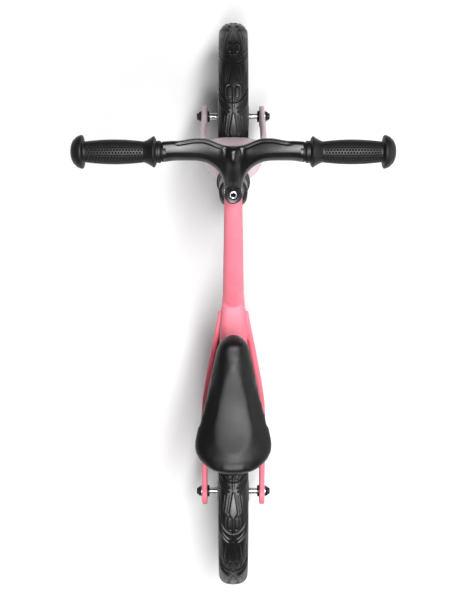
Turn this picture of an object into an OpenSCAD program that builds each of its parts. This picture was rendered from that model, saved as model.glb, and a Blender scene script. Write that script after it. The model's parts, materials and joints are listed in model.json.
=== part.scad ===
// Balance bike: moulded frame, fork and T-shaped handlebar, two foam-tyred wheels on
// ball bearings, and a saddle on a post that slides in the frame's seat tower.
// +X is forward, +Y is the rider's left, +Z is up. The origin is on the floor, midway
// between the two axles. All lengths are millimetres and all angles degrees.

/* [Overall] */
// Distance between the front and rear axles
wheelbase = 574; // [480:1:700]
// Outer diameter of both tyres
wheel_d = 276; // [228:1:334]
// Overall width across the handlebar grips
bar_w = 377; // [312:1:460]
// Rise of the grips' centre line above the top of the handlebar's boss
bar_rise = 48.4; // [38:0.1:90]

/* [Steering] */
// Lean of the steering axis back from vertical
head_tilt = 22; // [17:0.5:26]
// Distance of the front axle ahead of the steering axis
fork_offset = 31; // [24:1:38]
// Distance of the grips' centre line ahead of the stem bolt
bar_reach = 45; // [37:0.5:54]
// Gap between the front tyre and the fork crown
crown_gap = 9; // [6:1:16]
// Height of the fork crown, from the tyre gap to the neck
crown_h = 78; // [66:1:92]
// Length of the fork's neck between its crown and the shield
neck_l = 45; // [36:1:56]
// Length of the frame's head tube
head_l = 38; // [32:1:46]
// Outer diameter of the frame's head tube
head_d = 28; // [27.5:0.5:29]
// Outer diameter of the steerer tube
steerer_d = 22.2; // [20:0.1:22.8]
// Largest steering angle each way, where the stop lug meets its pocket's end
steer_limit = 45; // [30:1:60]

/* [Wheels] */
// Width of the tyres
tyre_w = 43; // [36:1:51]
// Depth of the tyres from tread to rim
tyre_h = 32; // [29:1:38]
// Radial thickness of the rim hoop
rim_t = 12; // [10:1:16]
// Number of spokes in each wheel
spoke_count = 5; // [4:1:7]
// Outer diameter of the hub barrel
hub_d = 36; // [30:1:43]
// Width of the hub between its end faces
hub_w = 48; // [46:1:57]
// Distance between the inner faces of the fork legs, and of the rear stays
dropout_gap = 79; // [76:1:94]
// Diameter of both axles
axle_d = 8; // [6.8:0.1:9]

/* [Frame] */
// Thickness of the fork legs and rear stays
leg_t = 8; // [6.7:0.1:9.6]
// Upward bow of the main beam between head and body
beam_arch = 13; // [8:1:18]
// Width of the main beam at the head
beam_w = 22; // [18.5:0.5:25]
// Distance of the seat tower's foot ahead of the rear axle
tower_ahead = 194; // [180:1:232]
// Height of the seat tower's foot above the rear axle
tower_rise = 76; // [63:1:91]
// Length of the seat tower
tower_l = 118; // [112:1:140]
// Lean of the seat tower back from vertical
tower_tilt = 18; // [14:0.5:21]
// Outer diameter of the seat tower
tower_d = 34; // [32:0.5:40]

/* [Saddle] */
// Diameter of the seat post
post_d = 25.4; // [21.2:0.1:28]
// Length of the saddle
saddle_l = 184; // [154:1:220]
// Width of the saddle at its widest
saddle_w = 99; // [83:1:119]
// Height of the saddle's mounting plate above the seat tower, saddle down
saddle_lift = 12; // [10:1:60]

/* [Grips] */
// Length of each grip, from its guard flange to its end
grip_l = 99; // [84:1:118]
// Diameter of the grips at their fullest
grip_d = 28.6; // [26:0.1:34]
// Diameter of the handlebar's round ends inside the grips
stub_d = 19; // [16:0.1:22]

/* [Hidden] */
$fn = 64;

// Colours
pink = [0.96, 0.50, 0.58];
pale_pink = [0.92, 0.82, 0.85];
black = [0.06, 0.06, 0.065];
charcoal = [0.12, 0.12, 0.13];
steel = [0.78, 0.79, 0.80];
bronze = [0.55, 0.42, 0.25];

// Clearances
slide_gap = 0.05;     // radial gap of a shaft that turns or slides in its bore
loose_gap = 0.2;      // radial gap of a screw in its clearance hole
part_gap = 0.5;       // gap between faces that turn past each other
tiny = 0.01;          // overlap that makes cuts run clean through

// Axles, and the steering axis's own frame: its x runs ahead of the axis and its z along
// it, from the foot of the perpendicular dropped from the front axle
wheel_r = wheel_d / 2;
front_x = wheelbase / 2;
rear_x = -wheelbase / 2;
steer_x0 = front_x - fork_offset * cos(head_tilt);
steer_z0 = wheel_r - fork_offset * sin(head_tilt);
function steer_point(p, s) = [
    steer_x0 + p * cos(head_tilt) - s * sin(head_tilt),
    steer_z0 + p * sin(head_tilt) + s * cos(head_tilt)
];

// Stations along the steering axis
crown_s = wheel_r + crown_gap;            // underside of the fork crown
neck_s = crown_s + crown_h;               // where the neck leaves the crown
shield_s = neck_s + neck_l;               // underside of the crown shield
shield_h = 9;
head_s = shield_s + shield_h + 2;         // lower end of the head tube
head_top_s = head_s + head_l;             // upper end of the head tube
cover_s = head_top_s + 6;                 // top face of the head cover
boss_s = cover_s + 1;                     // underside of the handlebar's boss
boss_h = 14;
boss_top_s = boss_s + boss_h;
boss_d = 21.6;
shield_d = 42.6;
neck_d = 33;

// Steerer, its bushes and the head cover
steerer_wall = 1.6;
steerer_foot_s = crown_s + 40;            // lower end of the steerer inside the fork
steerer_top_s = head_top_s + 4;
bush_d = steerer_d + 3.4;
bush_l = 13;
bush_lip_t = 1.5;
bush_lip_d = head_d - 1.2;
cover_d = 35.4;
cover_wall = 2.6;
cover_t = 4;
cover_foot_s = head_s + 2;

// Handlebar quill, and the bolt and wedge that hold it in the steerer
quill_d = steerer_d - 2 * steerer_wall - 0.2;
quill_l = 50;
stem_bolt_d = 6;
stem_head_d = 10;
stem_head_h = 6;
stem_recess = 6.4;                        // depth of the bolt head's recess in the boss
stem_socket_d = 5.8;
wedge_l = 16;

// Steering stop: a lug under the beam that runs in an arc-shaped pocket in the shield
lug_w = 6;
lug_in = 17.4;                            // inner radius of the lug
lug_out = 20;                             // outer radius of the lug
lug_deep = 5;                             // how far the lug reaches below the shield's top
lug_half_angle = asin(lug_w / 2 / lug_in);
pocket_spare = 1;                         // degrees left between lug and pocket end

// Bearings
bearing_d = 22;
bearing_w = 7;
ball_d = 3.9;
ball_count = 7;
ball_ring_r = 7.5;
ring_t = 1.9;
groove_r = ball_d / 2 + 0.06;
bearing_face = hub_w / 2 - 0.6;

// Axle hardware
washer_d = 17.4;
washer_t = 3;
outer_washer_t = 1.2;
nut_d = 17;
nut_t = 4;
nut_end_d = 10.4;
nut_end_l = 3.2;
spacer_d = 9.6;
dropout_r = 16;
dropout_back = 4;                         // rear dropout's disc, behind the axle
leg_in = dropout_gap / 2;
leg_mid = leg_in + leg_t / 2;
leg_out = leg_in + leg_t;
nut_face = leg_out + outer_washer_t;

// Seat tower, its clamp and the post
tower_x = rear_x + tower_ahead;
tower_z = wheel_r + tower_rise;
tower_top_z = tower_z + tower_l * cos(tower_tilt);
clamp_h = 14;
clamp_t = 3.4;
clamp_s = tower_l - clamp_h;
split_w = 2.6;                            // width of the slot that lets the tower close
split_l = 26;
ear_l = 11;
ear_t = 6;
clamp_bolt_d = 5;
clamp_head_d = 8.5;
clamp_nut_d = 9.2;
post_wall = 2;
post_foot_s = 10;

// Saddle plate, base and cover
plate_z = tower_top_z + saddle_lift;      // underside of the post's plate
plate_t = 4;
plate_l = 66;
plate_w = 42;
plate_x = tower_x - (plate_z - tower_z) * tan(tower_tilt);
base_z = plate_z + plate_t;               // underside of the saddle base
base_t = 6;
cover_z = base_z + base_t;                // underside of the saddle cover
saddle_nose_x = plate_x + 95;
screw_d = 4;
screw_head_d = 8;
screw_head_h = 2.6;
screw_l = 8;
screw_pitch_x = 52;
screw_pitch_y = 28;

// ---- General shapes --------------------------------------------------------------

// Point on a superellipse with half axes a and b and squareness n, at angle t
function power_of(v, e) = sign(v) * pow(abs(v), e);
function oval(a, b, n, t) = [a * power_of(cos(t), 2 / n), b * power_of(sin(t), 2 / n)];

// Smooth curve through a list of vectors, resampled at equal steps of its parameter
function blend(p, q, r, s, t) =
    0.5 * ((2 * q) + (r - p) * t + (2 * p - 5 * q + 4 * r - s) * t * t
    + (3 * q - p - 3 * r + s) * t * t * t);
function curve_at(list, u) =
    let (
        last = len(list) - 1,
        i = min(floor(u), last - 1),
        before = i > 0 ? list[i - 1] : 2 * list[0] - list[1],
        after = i + 2 <= last ? list[i + 2] : 2 * list[last] - list[last - 1]
    )
    blend(before, list[i], list[i + 1], after, u - i);
function resample(list, steps) =
    [for (k = [0:steps]) curve_at(list, k * (len(list) - 1) / steps)];

// Closed skin over rings of equal point count. Seen from the first ring towards the
// last, each ring's points run anticlockwise.
module skin(rings) {
    m = len(rings[0]);
    last = len(rings) - 1;
    points = [for (ring = rings) each ring];
    walls = [
        for (i = [0:last - 1]) for (j = [0:m - 1])
            [i * m + j, i * m + (j + 1) % m, (i + 1) * m + (j + 1) % m, (i + 1) * m + j]
    ];
    first_cap = [[for (j = [0:m - 1]) m - 1 - j]];
    last_cap = [[for (j = [0:m - 1]) last * m + j]];
    polyhedron(points = points, faces = concat(walls, first_cap, last_cap), convexity = 6);
}

ring_points = 24;

// Ring across a path in the XZ plane: centre [x, z], path angle, half width, half height
function beam_ring(c, slope, half_w, half_h, n) = [
    for (j = [0:ring_points - 1])
        let (q = oval(half_w, half_h, n, j * 360 / ring_points))
        [c[0] - q[1] * sin(slope), q[0], c[1] + q[1] * cos(slope)]
];

// Upright ring at x, centred at y and z
function upright_ring(x, y, z, half_w, half_h, n) = [
    for (j = [0:ring_points - 1])
        let (q = oval(half_w, half_h, n, j * 360 / ring_points))
        [x, y + q[0], z + q[1]]
];

// Level ring at height z, centred at x and y
function level_ring(z, x, y, half_x, half_y, n) = [
    for (j = [0:ring_points - 1])
        let (q = oval(half_x, half_y, n, j * 360 / ring_points))
        [x + q[0], y + q[1], z]
];

// Ring across the handlebar at y, centred at x and z
function cross_ring(y, x, z, half_x, half_z, n) = [
    for (j = [0:ring_points - 1])
        let (q = oval(half_x, half_z, n, j * 360 / ring_points))
        [x + q[0], y, z + q[1]]
];

// Places children in the steering axis's frame
module on_steering_axis() {
    translate([steer_x0, 0, steer_z0]) rotate([0, -head_tilt, 0]) children();
}

// Places children with z along the seat tower, from its foot
module on_tower() {
    translate([tower_x, 0, tower_z]) rotate([0, -tower_tilt, 0]) children();
}

// Places children at an axle, with z along the axle towards the rider's left
module on_axle(x) {
    translate([x, 0, wheel_r]) rotate([-90, 0, 0]) children();
}

// Children, and their mirror image across the plane z = 0
module both_ends() {
    children();
    mirror([0, 0, 1]) children();
}

// Straight tube along z between two heights
module tube(outer_d, inner_d, from, to) {
    translate([0, 0, from]) difference() {
        cylinder(d = outer_d, h = to - from);
        translate([0, 0, -tiny]) cylinder(d = inner_d, h = to - from + 2 * tiny);
    }
}

// ---- Frame -----------------------------------------------------------------------

body_x = tower_x + 119;                   // front end of the body's flat top
body_z = tower_z + 80;                    // height of the body's flat top at its front

// Main beam: from the head tube down into the body, bowed upward
module beam() {
    from = steer_point(0, head_s + head_l * 0.6);
    to = [body_x - 38, body_z - 42];
    run = to - from;
    up = [run[1], -run[0]] / norm(run);
    steps = 12;
    rings = [
        for (k = [0:steps])
            let (
                t = k / steps,
                c = from + run * t + up * 4 * beam_arch * t * (1 - t),
                d = run + up * 4 * beam_arch * (1 - 2 * t),
                half_w = beam_w / 2 + 4.4 * t,
                half_h = 14.5 + 3 * t
            )
            beam_ring(c, atan2(-d[1], -d[0]), half_w, half_h, 2.3)
    ];
    skin(rings);
}

// Body: boxy shell from the beam's foot back round the seat tower. Each station is
// [distance behind the front, rise of the top, half width, height, squareness].
module body() {
    stations = [
        [0, -4, 13.4, 14, 3],
        [14, -1.5, 14.8, 27, 4],
        [42, -1, 17, 48, 4.5],
        [64, 1, 18.6, 58, 4.5],
        [104, 8, 19, 60, 4],
        [136, 9, 18.6, 58, 3],
        [152, 5, 14, 50, 2.4],
        [159, 0, 8, 40, 2.2]
    ];
    rings = [
        for (s = resample(stations, 21))
            upright_ring(body_x - s[0], 0, body_z + s[1] - s[3] / 2, s[2], s[3] / 2, s[4])
    ];
    skin(rings);
}

// Yoke: low bridge across both stays, ahead of the rear tyre. Each station is
// [distance behind the body's front, drop, half width, half height].
module yoke() {
    stations = [
        [16, -38, 12, 8],
        [36, -44, 18, 13],
        [62, -52, 25.5, 14],
        [95, -64, 30.5, 15],
        [124, -76, 34.5, 14],
        [136, -81, 35, 9]
    ];
    rings = [
        for (s = resample(stations, 9))
            upright_ring(body_x - s[0], 0, body_z + s[1], s[2], s[3], 4)
    ];
    skin(rings);
}

// Rear stay: flat arm from the body's flank to the rear axle
module stay() {
    start_x = body_x - 36;
    run = start_x - rear_x;
    drop = body_z - 22 - wheel_r;
    stations = [
        [start_x, 16.6, body_z - 22, leg_t / 2, 7],
        [start_x - 22, 20.6, body_z - 33, leg_t / 2, 15],
        [start_x - 72, 31, body_z - 60, leg_t / 2, 17],
        [start_x - 130, leg_mid - 2.4, wheel_r + drop * 0.5, leg_t / 2, 16.5],
        [rear_x + run * 0.33, leg_mid, wheel_r + drop * 0.29, leg_t / 2, 15.5],
        [rear_x + run * 0.15, leg_mid, wheel_r + drop * 0.11, leg_t / 2, 15.3],
        [rear_x, leg_mid, wheel_r, leg_t / 2, 15.3]
    ];
    rings = [
        for (s = resample(stations, 24)) upright_ring(s[0], s[1], s[2], s[3], s[4], 5)
    ];
    skin(rings);
    on_axle(rear_x - dropout_back) translate([0, 0, leg_in]) cylinder(r = dropout_r, h = leg_t);
}

// Lug under the beam's root that stops the steering
module stop_lug() {
    on_steering_axis() translate([-lug_out, -lug_w / 2, head_s - 2 - lug_deep])
        cube([lug_out - lug_in, lug_w, lug_deep + 16]);
}

// Slot down the back of the tower's top, which the seat clamp closes
module tower_split() {
    on_tower() translate([-tower_d, -split_w / 2, tower_l - split_l])
        cube([tower_d, split_w, split_l + 1]);
}

module frame() {
    color(pink) difference() {
        union() {
            beam();
            body();
            yoke();
            stay();
            mirror([0, 1, 0]) stay();
            stop_lug();
            on_steering_axis() translate([0, 0, head_s]) cylinder(d = head_d, h = head_l);
            on_tower() cylinder(d = tower_d, h = tower_l);
        }
        on_steering_axis() translate([0, 0, head_s - 1]) cylinder(d = bush_d, h = head_l + 2);
        on_steering_axis() translate([0, 0, head_top_s]) cylinder(d = cover_d + 1, h = 20);
        on_tower() translate([0, 0, -40])
            cylinder(d = post_d + 2 * slide_gap, h = tower_l + 41);
        on_axle(rear_x) translate([0, 0, -leg_out - 1])
            cylinder(d = axle_d, h = 2 * leg_out + 2);
        tower_split();
    }
}

// ---- Head ------------------------------------------------------------------------

// Shell over the head tube, open at the back where the beam comes in
module head_cover() {
    slot_w = beam_w + 1.2;
    color(black) on_steering_axis() difference() {
        translate([0, 0, cover_foot_s]) cylinder(d = cover_d, h = cover_s - cover_foot_s);
        translate([0, 0, cover_foot_s - 1])
            cylinder(d = cover_d - 2 * cover_wall, h = cover_s - cover_t - cover_foot_s + 1);
        translate([0, 0, cover_s - cover_t - 1])
            cylinder(d = bush_lip_d + 1, h = cover_t + 2);
        translate([-cover_d, -slot_w / 2, cover_foot_s - 1])
            cube([cover_d - 4, slot_w, cover_s - cover_foot_s + 2]);
    }
}

// Flanged bush, from the flange's outer face inwards
module bush() {
    bore = steerer_d + 2 * slide_gap;
    tube(bush_lip_d, bore, -bush_lip_t, 0);
    tube(bush_d, bore, -tiny, bush_l);
}

module upper_bush() {
    color(charcoal) on_steering_axis() translate([0, 0, head_top_s]) mirror([0, 0, 1]) bush();
}

module lower_bush() {
    color(charcoal) on_steering_axis() translate([0, 0, head_s]) bush();
}

// ---- Seat clamp ------------------------------------------------------------------

ear_x = -(tower_d / 2 + clamp_t + ear_l / 2);   // middle of the ears, behind the tower
ear_span = split_w + 2 * ear_t;

module seat_clamp() {
    color(black) on_tower() difference() {
        union() {
            translate([0, 0, clamp_s]) cylinder(d = tower_d + 2 * clamp_t, h = clamp_h);
            translate([ear_x - ear_l / 2, -ear_span / 2, clamp_s])
                cube([ear_l + clamp_t + 2, ear_span, clamp_h]);
        }
        translate([0, 0, clamp_s - 1]) cylinder(d = tower_d, h = clamp_h + 2);
        translate([ear_x - ear_l, -split_w / 2, clamp_s - 1])
            cube([ear_l + 20, split_w, clamp_h + 2]);
        translate([ear_x, -ear_span, clamp_s + clamp_h / 2]) rotate([-90, 0, 0])
            cylinder(d = clamp_bolt_d + 2 * loose_gap, h = 2 * ear_span);
    }
}

// Places children at the clamp bolt, with z along it towards the rider's left
module on_clamp_bolt() {
    on_tower() translate([ear_x, 0, clamp_s + clamp_h / 2]) rotate([-90, 0, 0]) children();
}

module seat_clamp_bolt() {
    color(steel) on_clamp_bolt() difference() {
        union() {
            translate([0, 0, -ear_span / 2 - 5]) cylinder(d = clamp_bolt_d, h = ear_span + 5);
            translate([0, 0, ear_span / 2]) cylinder(d = clamp_head_d, h = 5);
        }
        translate([0, 0, ear_span / 2 + 2]) cylinder(d = 4.6, h = 4, $fn = 6);
    }
}

module seat_clamp_nut() {
    color(steel) on_clamp_bolt() translate([0, 0, -ear_span / 2 - 4]) difference() {
        cylinder(d = clamp_nut_d, h = 4, $fn = 6);
        translate([0, 0, -1]) cylinder(d = clamp_bolt_d, h = 6);
    }
}

// ---- Fork ------------------------------------------------------------------------

// Fork leg in the steering axis's frame. Each station, from the top down, is
// [height, forward place, distance from the middle, half thickness, half width].
module fork_leg() {
    stations = [
        [crown_s + 34, fork_offset - 23, leg_mid - 14, 6, 13],
        [crown_s + 15, fork_offset - 19.5, leg_mid - 6.5, 5.6, 14.4],
        [crown_s - 5, fork_offset - 15.5, leg_mid - 1.6, leg_t / 2 + 0.6, 15.2],
        [crown_s - 38, fork_offset - 11, leg_mid, leg_t / 2, 15.2],
        [76, fork_offset - 6.5, leg_mid, leg_t / 2, 15.4],
        [36, fork_offset - 1.5, leg_mid, leg_t / 2, 14.6],
        [0, fork_offset, leg_mid, leg_t / 2, 15.3]
    ];
    rings = [
        for (s = resample(stations, 20)) level_ring(s[0], s[1], s[2], s[4], s[3], 4)
    ];
    skin(rings);
}

// Crown and neck in the steering axis's frame. Each station, from the top down, is
// [height, forward place, half depth, half width, squareness].
module crown() {
    neck_r = neck_d / 2;
    stations = [
        [shield_s, 0, neck_r, neck_r, 2],
        [neck_s + neck_l * 0.5, 0, neck_r, neck_r, 2],
        [neck_s, 0, neck_r + 1, neck_r + 1.6, 2],
        [crown_s + crown_h * 0.82, 0, 18.5, 22, 2.1],
        [crown_s + crown_h * 0.64, 1, 21.5, 29.5, 2.5],
        [crown_s + crown_h * 0.42, 3, 24, 35, 2.9],
        [crown_s + crown_h * 0.2, 4.5, 25, 38.8, 3.1],
        [crown_s, 5.5, 25, 41.6, 3.2]
    ];
    rings = [
        for (s = resample(stations, 21)) level_ring(s[0], s[1], 0, s[2], s[3], s[4])
    ];
    skin(rings);
}

module fork() {
    color(pale_pink) difference() {
        union() {
            on_steering_axis() {
                crown();
                fork_leg();
                mirror([0, 1, 0]) fork_leg();
            }
            on_axle(front_x) both_ends() translate([0, 0, leg_in])
                cylinder(r = dropout_r, h = leg_t);
        }
        on_steering_axis() translate([0, 0, steerer_foot_s])
            cylinder(d = steerer_d, h = shield_s);
        on_axle(front_x) translate([0, 0, -leg_out - 1])
            cylinder(d = axle_d, h = 2 * leg_out + 2);
    }
}

module steerer_tube() {
    color(steel) on_steering_axis()
        tube(steerer_d, steerer_d - 2 * steerer_wall, steerer_foot_s, steerer_top_s);
}

// Round shield on top of the fork's neck, with the stop lug's pocket in its back
module crown_shield() {
    pocket_half = steer_limit + lug_half_angle + pocket_spare;
    color(black) on_steering_axis() translate([0, 0, shield_s]) difference() {
        cylinder(d = shield_d, h = shield_h);
        translate([0, 0, -1]) cylinder(d = steerer_d, h = shield_h + 2);
        translate([0, 0, shield_h - lug_deep - part_gap]) rotate([0, 0, 180 - pocket_half])
            rotate_extrude(angle = 2 * pocket_half)
                translate([lug_in - part_gap, 0])
                    square([lug_out - lug_in + 2 * part_gap, shield_h]);
    }
}

// ---- Handlebar -------------------------------------------------------------------

boss_middle = steer_point(0, boss_top_s - 7);
bolt_top = steer_point(0, boss_top_s);
grip_x = bolt_top[0] + bar_reach;
bar_z = bolt_top[1] + bar_rise;
grip_start = bar_w / 2 - grip_l;          // the guard flange's inner face
collar_l = 8.6;
arm_end = grip_start - collar_l;

// Arms: one moulded bar across, from grip to grip. Each station is
// [distance from the middle, forward place, height, half depth, half height, squareness].
module arms() {
    half = [
        [arm_end, 0.6, 0, 11, 10.4, 2.6],
        [arm_end - 19, 1.8, -0.6, 10.8, 9.6, 3],
        [arm_end - 33, 3.1, -1.8, 12.2, 9, 3.2],
        [arm_end - 48, 2.6, -4, 13.6, 8.6, 3.2],
        [arm_end - 62, -0.5, -7, 13.4, 8.4, 3]
    ];
    middle = [[0, -3.6, -9.5, 11.8, 8, 2.8]];
    left = [for (s = half) [-s[0], s[1], s[2], s[3], s[4], s[5]]];
    right = [for (i = [len(half) - 1:-1:0]) half[i]];
    rings = [
        for (s = resample(concat(left, middle, right), 40))
            cross_ring(s[0], grip_x + s[1], bar_z + s[2], s[3], s[4], s[5])
    ];
    skin(rings);
}

// Stem: from the bar's middle back and down to the boss. Each station is
// [share of the way, half width, half height].
module stem() {
    from = [grip_x + 1, bar_z - 9];
    to = boss_middle;
    run = to - from;
    slope = atan2(-run[1], -run[0]);
    stations = [
        [0, 25, 6.4], [0.22, 19, 7.2], [0.45, 14, 7.8], [0.7, 11.4, 7.8], [1, 10.2, 7]
    ];
    rings = [
        for (s = resample(stations, 10)) beam_ring(from + run * s[0], slope, s[1], s[2], 2.6)
    ];
    skin(rings);
}

module handlebar() {
    color(black) difference() {
        union() {
            arms();
            stem();
            on_steering_axis() {
                translate([0, 0, boss_s]) cylinder(d = boss_d, h = boss_h);
                translate([0, 0, boss_s - quill_l]) cylinder(d = quill_d, h = quill_l + 1);
            }
            translate([grip_x, 0, bar_z]) rotate([-90, 0, 0]) both_ends()
                translate([0, 0, arm_end - 3])
                    cylinder(d = stub_d, h = bar_w / 2 - arm_end - 3);
        }
        on_steering_axis() {
            translate([0, 0, boss_s - quill_l - 1])
                cylinder(d = stem_bolt_d + 2 * loose_gap, h = quill_l + boss_h + 2);
            translate([0, 0, boss_top_s - stem_recess]) cylinder(d = stem_head_d + 1, h = 40);
        }
    }
}

// Socket-head bolt down through the boss and quill
module stem_bolt() {
    seat_s = boss_top_s - stem_recess;
    foot = boss_s - quill_l - wedge_l;
    color(steel) on_steering_axis() difference() {
        union() {
            translate([0, 0, seat_s]) cylinder(d = stem_head_d, h = stem_head_h);
            translate([0, 0, foot]) cylinder(d = stem_bolt_d, h = seat_s - foot + tiny);
        }
        translate([0, 0, seat_s + 2.6]) cylinder(d = stem_socket_d, h = 10, $fn = 6);
    }
}

// Wedge that the bolt pulls up against the quill's foot
module stem_wedge() {
    color(steel) on_steering_axis()
        tube(quill_d, stem_bolt_d, boss_s - quill_l - wedge_l, boss_s - quill_l);
}

// Half profile of a grip, as [radius, distance outwards from its guard flange]
function grip_profile() =
    let (
        full = grip_d / 2,
        waist = full - 2.2,
        cap_r = full + 5.3,
        cap_l = 17,
        body_from = 12.6,
        body_to = grip_l - cap_l
    )
    concat(
        [
            [stub_d / 2, -collar_l], [stub_d / 2 + 4.2, -collar_l],
            [stub_d / 2 + 4.2, -collar_l + 2], [stub_d / 2 + 3.4, -collar_l + 2.6],
            [stub_d / 2 + 3.4, 0], [full + 3.9, 0], [full + 3.9, 2.4]
        ],
        [for (k = [1:4]) let (t = k / 5) [full + 2.6 - 4.8 * (1 - pow(1 - t, 2)), 2.6 + 10 * t]],
        [
            for (k = [0:10])
                let (t = k / 10)
                [waist + 2.2 * sin(180 * t), body_from + (body_to - body_from) * t]
        ],
        [[cap_r - 3.4, body_to + 0.2]],
        [for (a = [-60:20:80]) [cap_r - 4 + 4 * cos(a), body_to + 6 + (a < 0 ? 5 : 9) * sin(a)]],
        [[cap_r - 7, grip_l - 1], [0, grip_l], [0, grip_l - 5.6], [stub_d / 2, grip_l - 5.6]]
    );

module grip() {
    translate([grip_x, 0, bar_z]) rotate([-90, 0, 0]) translate([0, 0, grip_start])
        rotate_extrude() polygon(grip_profile());
}

module grip_left() {
    color(black) grip();
}

module grip_right() {
    color(black) mirror([0, 1, 0]) grip();
}

// ---- Wheels and axles ------------------------------------------------------------

rim_r = wheel_r - tyre_h;                 // seat of the tyre on the rim
rim_w = tyre_w - 12;
web_t = 12;

// Right half of the tyre's profile is mirrored: [radius, distance from the middle]
function tyre_half() =
    let (half = tyre_w / 2, crown_r = 17)
    concat(
        [[rim_r, 0], [rim_r, rim_w / 2], [rim_r + 2, rim_w / 2 + 1]],
        [for (k = [1:3]) [rim_r + 2 + 3 * k, rim_w / 2 + 1 + (half - rim_w / 2 - 1) * sin(30 * k)]],
        [
            for (a = [0:11.25:90])
                [wheel_r - crown_r + crown_r * power_of(sin(a), 0.9), half * power_of(cos(a), 0.8)]
        ]
    );

module tyre(x) {
    half = tyre_half();
    other = [for (i = [len(half) - 2:-1:1]) [half[i][0], -half[i][1]]];
    color(black) on_axle(x) rotate_extrude($fn = 96) polygon(concat(half, other));
}

// Rounded window between two spokes, as an outline in the wheel's plane
function window_outline(inner_r, outer_r, half_pitch, spoke_w) =
    let (
        edge = spoke_w / 2 + 3,
        a_in = half_pitch - asin(edge / inner_r),
        a_out = half_pitch - asin(edge / outer_r)
    )
    concat(
        [for (k = [-4:4]) let (a = a_out * k / 4) [outer_r * cos(a), outer_r * sin(a)]],
        [[(outer_r - 5) * cos(a_out + 1.6), (outer_r - 5) * sin(a_out + 1.6)]],
        [[(inner_r + 5) * cos(a_in + 3), (inner_r + 5) * sin(a_in + 3)]],
        [for (k = [4:-1:-4]) let (a = a_in * k / 4) [inner_r * cos(a), inner_r * sin(a)]],
        [[(inner_r + 5) * cos(a_in + 3), -(inner_r + 5) * sin(a_in + 3)]],
        [[(outer_r - 5) * cos(a_out + 1.6), -(outer_r - 5) * sin(a_out + 1.6)]]
    );

// Moulded wheel: rim hoop, spoked web and hub barrel with a bearing seat in each end
module wheel(x) {
    hoop_in = rim_r - rim_t;
    half_pitch = 180 / spoke_count;
    color(charcoal) on_axle(x) difference() {
        union() {
            rotate_extrude($fn = 96) polygon([
                [hoop_in, -web_t / 2 - 1], [hoop_in + 5, -rim_w / 2 - 2],
                [rim_r, -rim_w / 2 - 2], [rim_r, rim_w / 2 + 2],
                [hoop_in + 5, rim_w / 2 + 2], [hoop_in, web_t / 2 + 1]
            ]);
            translate([0, 0, -web_t / 2]) linear_extrude(web_t) difference() {
                circle(r = hoop_in + 2);
                for (k = [0:spoke_count - 1]) rotate((2 * k + 1) * half_pitch)
                    polygon(window_outline(hub_d / 2 + 7, hoop_in - 3, half_pitch, 15));
            }
            translate([0, 0, -hub_w / 2]) cylinder(d = hub_d, h = hub_w);
        }
        translate([0, 0, -hub_w]) cylinder(d = spacer_d + 4, h = 2 * hub_w);
        both_ends() translate([0, 0, bearing_face - bearing_w])
            cylinder(d = bearing_d, h = hub_w);
    }
}

// Ring of a ball bearing at each end of the hub, grooved for the balls
module bearing_rings(x, outer_r, inner_r) {
    color(steel) on_axle(x) both_ends() translate([0, 0, bearing_face - bearing_w / 2])
        difference() {
            tube(2 * outer_r, 2 * inner_r, -bearing_w / 2, bearing_w / 2);
            rotate_extrude() translate([ball_ring_r, 0]) circle(r = groove_r);
        }
}

module bearing_outer_rings(x) {
    bearing_rings(x, bearing_d / 2, bearing_d / 2 - ring_t);
}

module bearing_inner_rings(x) {
    bearing_rings(x, axle_d / 2 + ring_t, axle_d / 2);
}

module bearing_balls(x) {
    color(steel) on_axle(x) both_ends() translate([0, 0, bearing_face - bearing_w / 2])
        for (k = [0:ball_count - 1]) rotate(k * 360 / ball_count)
            translate([ball_ring_r, 0, 0]) sphere(d = ball_d);
}

module axle(x) {
    axle_half = nut_face + nut_t + 1;
    color(steel) on_axle(x) translate([0, 0, -axle_half])
        cylinder(d = axle_d, h = 2 * axle_half);
}

// Bright tubes that keep the bearings' inner rings off the washers
module spacers(x) {
    color(steel) on_axle(x) both_ends()
        tube(spacer_d, axle_d, bearing_face, leg_in - washer_t);
}

module inner_washers(x) {
    color(black) on_axle(x) both_ends() tube(washer_d, axle_d, leg_in - washer_t, leg_in);
}

module outer_washers(x) {
    color(steel) on_axle(x) both_ends() tube(washer_d, axle_d, leg_out, nut_face);
}

// Flanged cap nut with a hexagon and a rounded end, closed outside
module axle_nuts(x) {
    color(black) on_axle(x) both_ends() difference() {
        union() {
            translate([0, 0, nut_face]) cylinder(d = nut_d, h = 1.4);
            translate([0, 0, nut_face]) cylinder(d = nut_d - 1.6, h = nut_t, $fn = 6);
            translate([0, 0, nut_face + nut_t - tiny]) cylinder(d = nut_end_d, h = nut_end_l);
        }
        translate([0, 0, nut_face - 1]) cylinder(d = axle_d, h = nut_t + 2);
    }
}

// ---- Saddle ----------------------------------------------------------------------

// Post tube, cut level at the top, with the plate that carries the saddle
module seat_post() {
    color(steel) difference() {
        union() {
            difference() {
                on_tower() translate([0, 0, post_foot_s]) cylinder(d = post_d, h = tower_l + 30);
                translate([plate_x - 100, -50, base_z - tiny]) cube([200, 100, 100]);
            }
            translate([plate_x - plate_l / 2, -plate_w / 2, plate_z])
                cube([plate_l, plate_w, plate_t]);
        }
        difference() {
            on_tower() translate([0, 0, post_foot_s - 1])
                cylinder(d = post_d - 2 * post_wall, h = tower_l + 30);
            translate([plate_x - 100, -50, plate_z]) cube([200, 100, 100]);
        }
        on_screws() translate([0, 0, -1]) cylinder(d = screw_d + 2 * loose_gap, h = plate_t + 2);
    }
}

// Places children at the four saddle screws, on the plate's underside
module on_screws() {
    for (i = [-1, 1]) for (j = [-1, 1])
        translate([plate_x + i * screw_pitch_x / 2, j * screw_pitch_y / 2, plate_z]) children();
}

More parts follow.
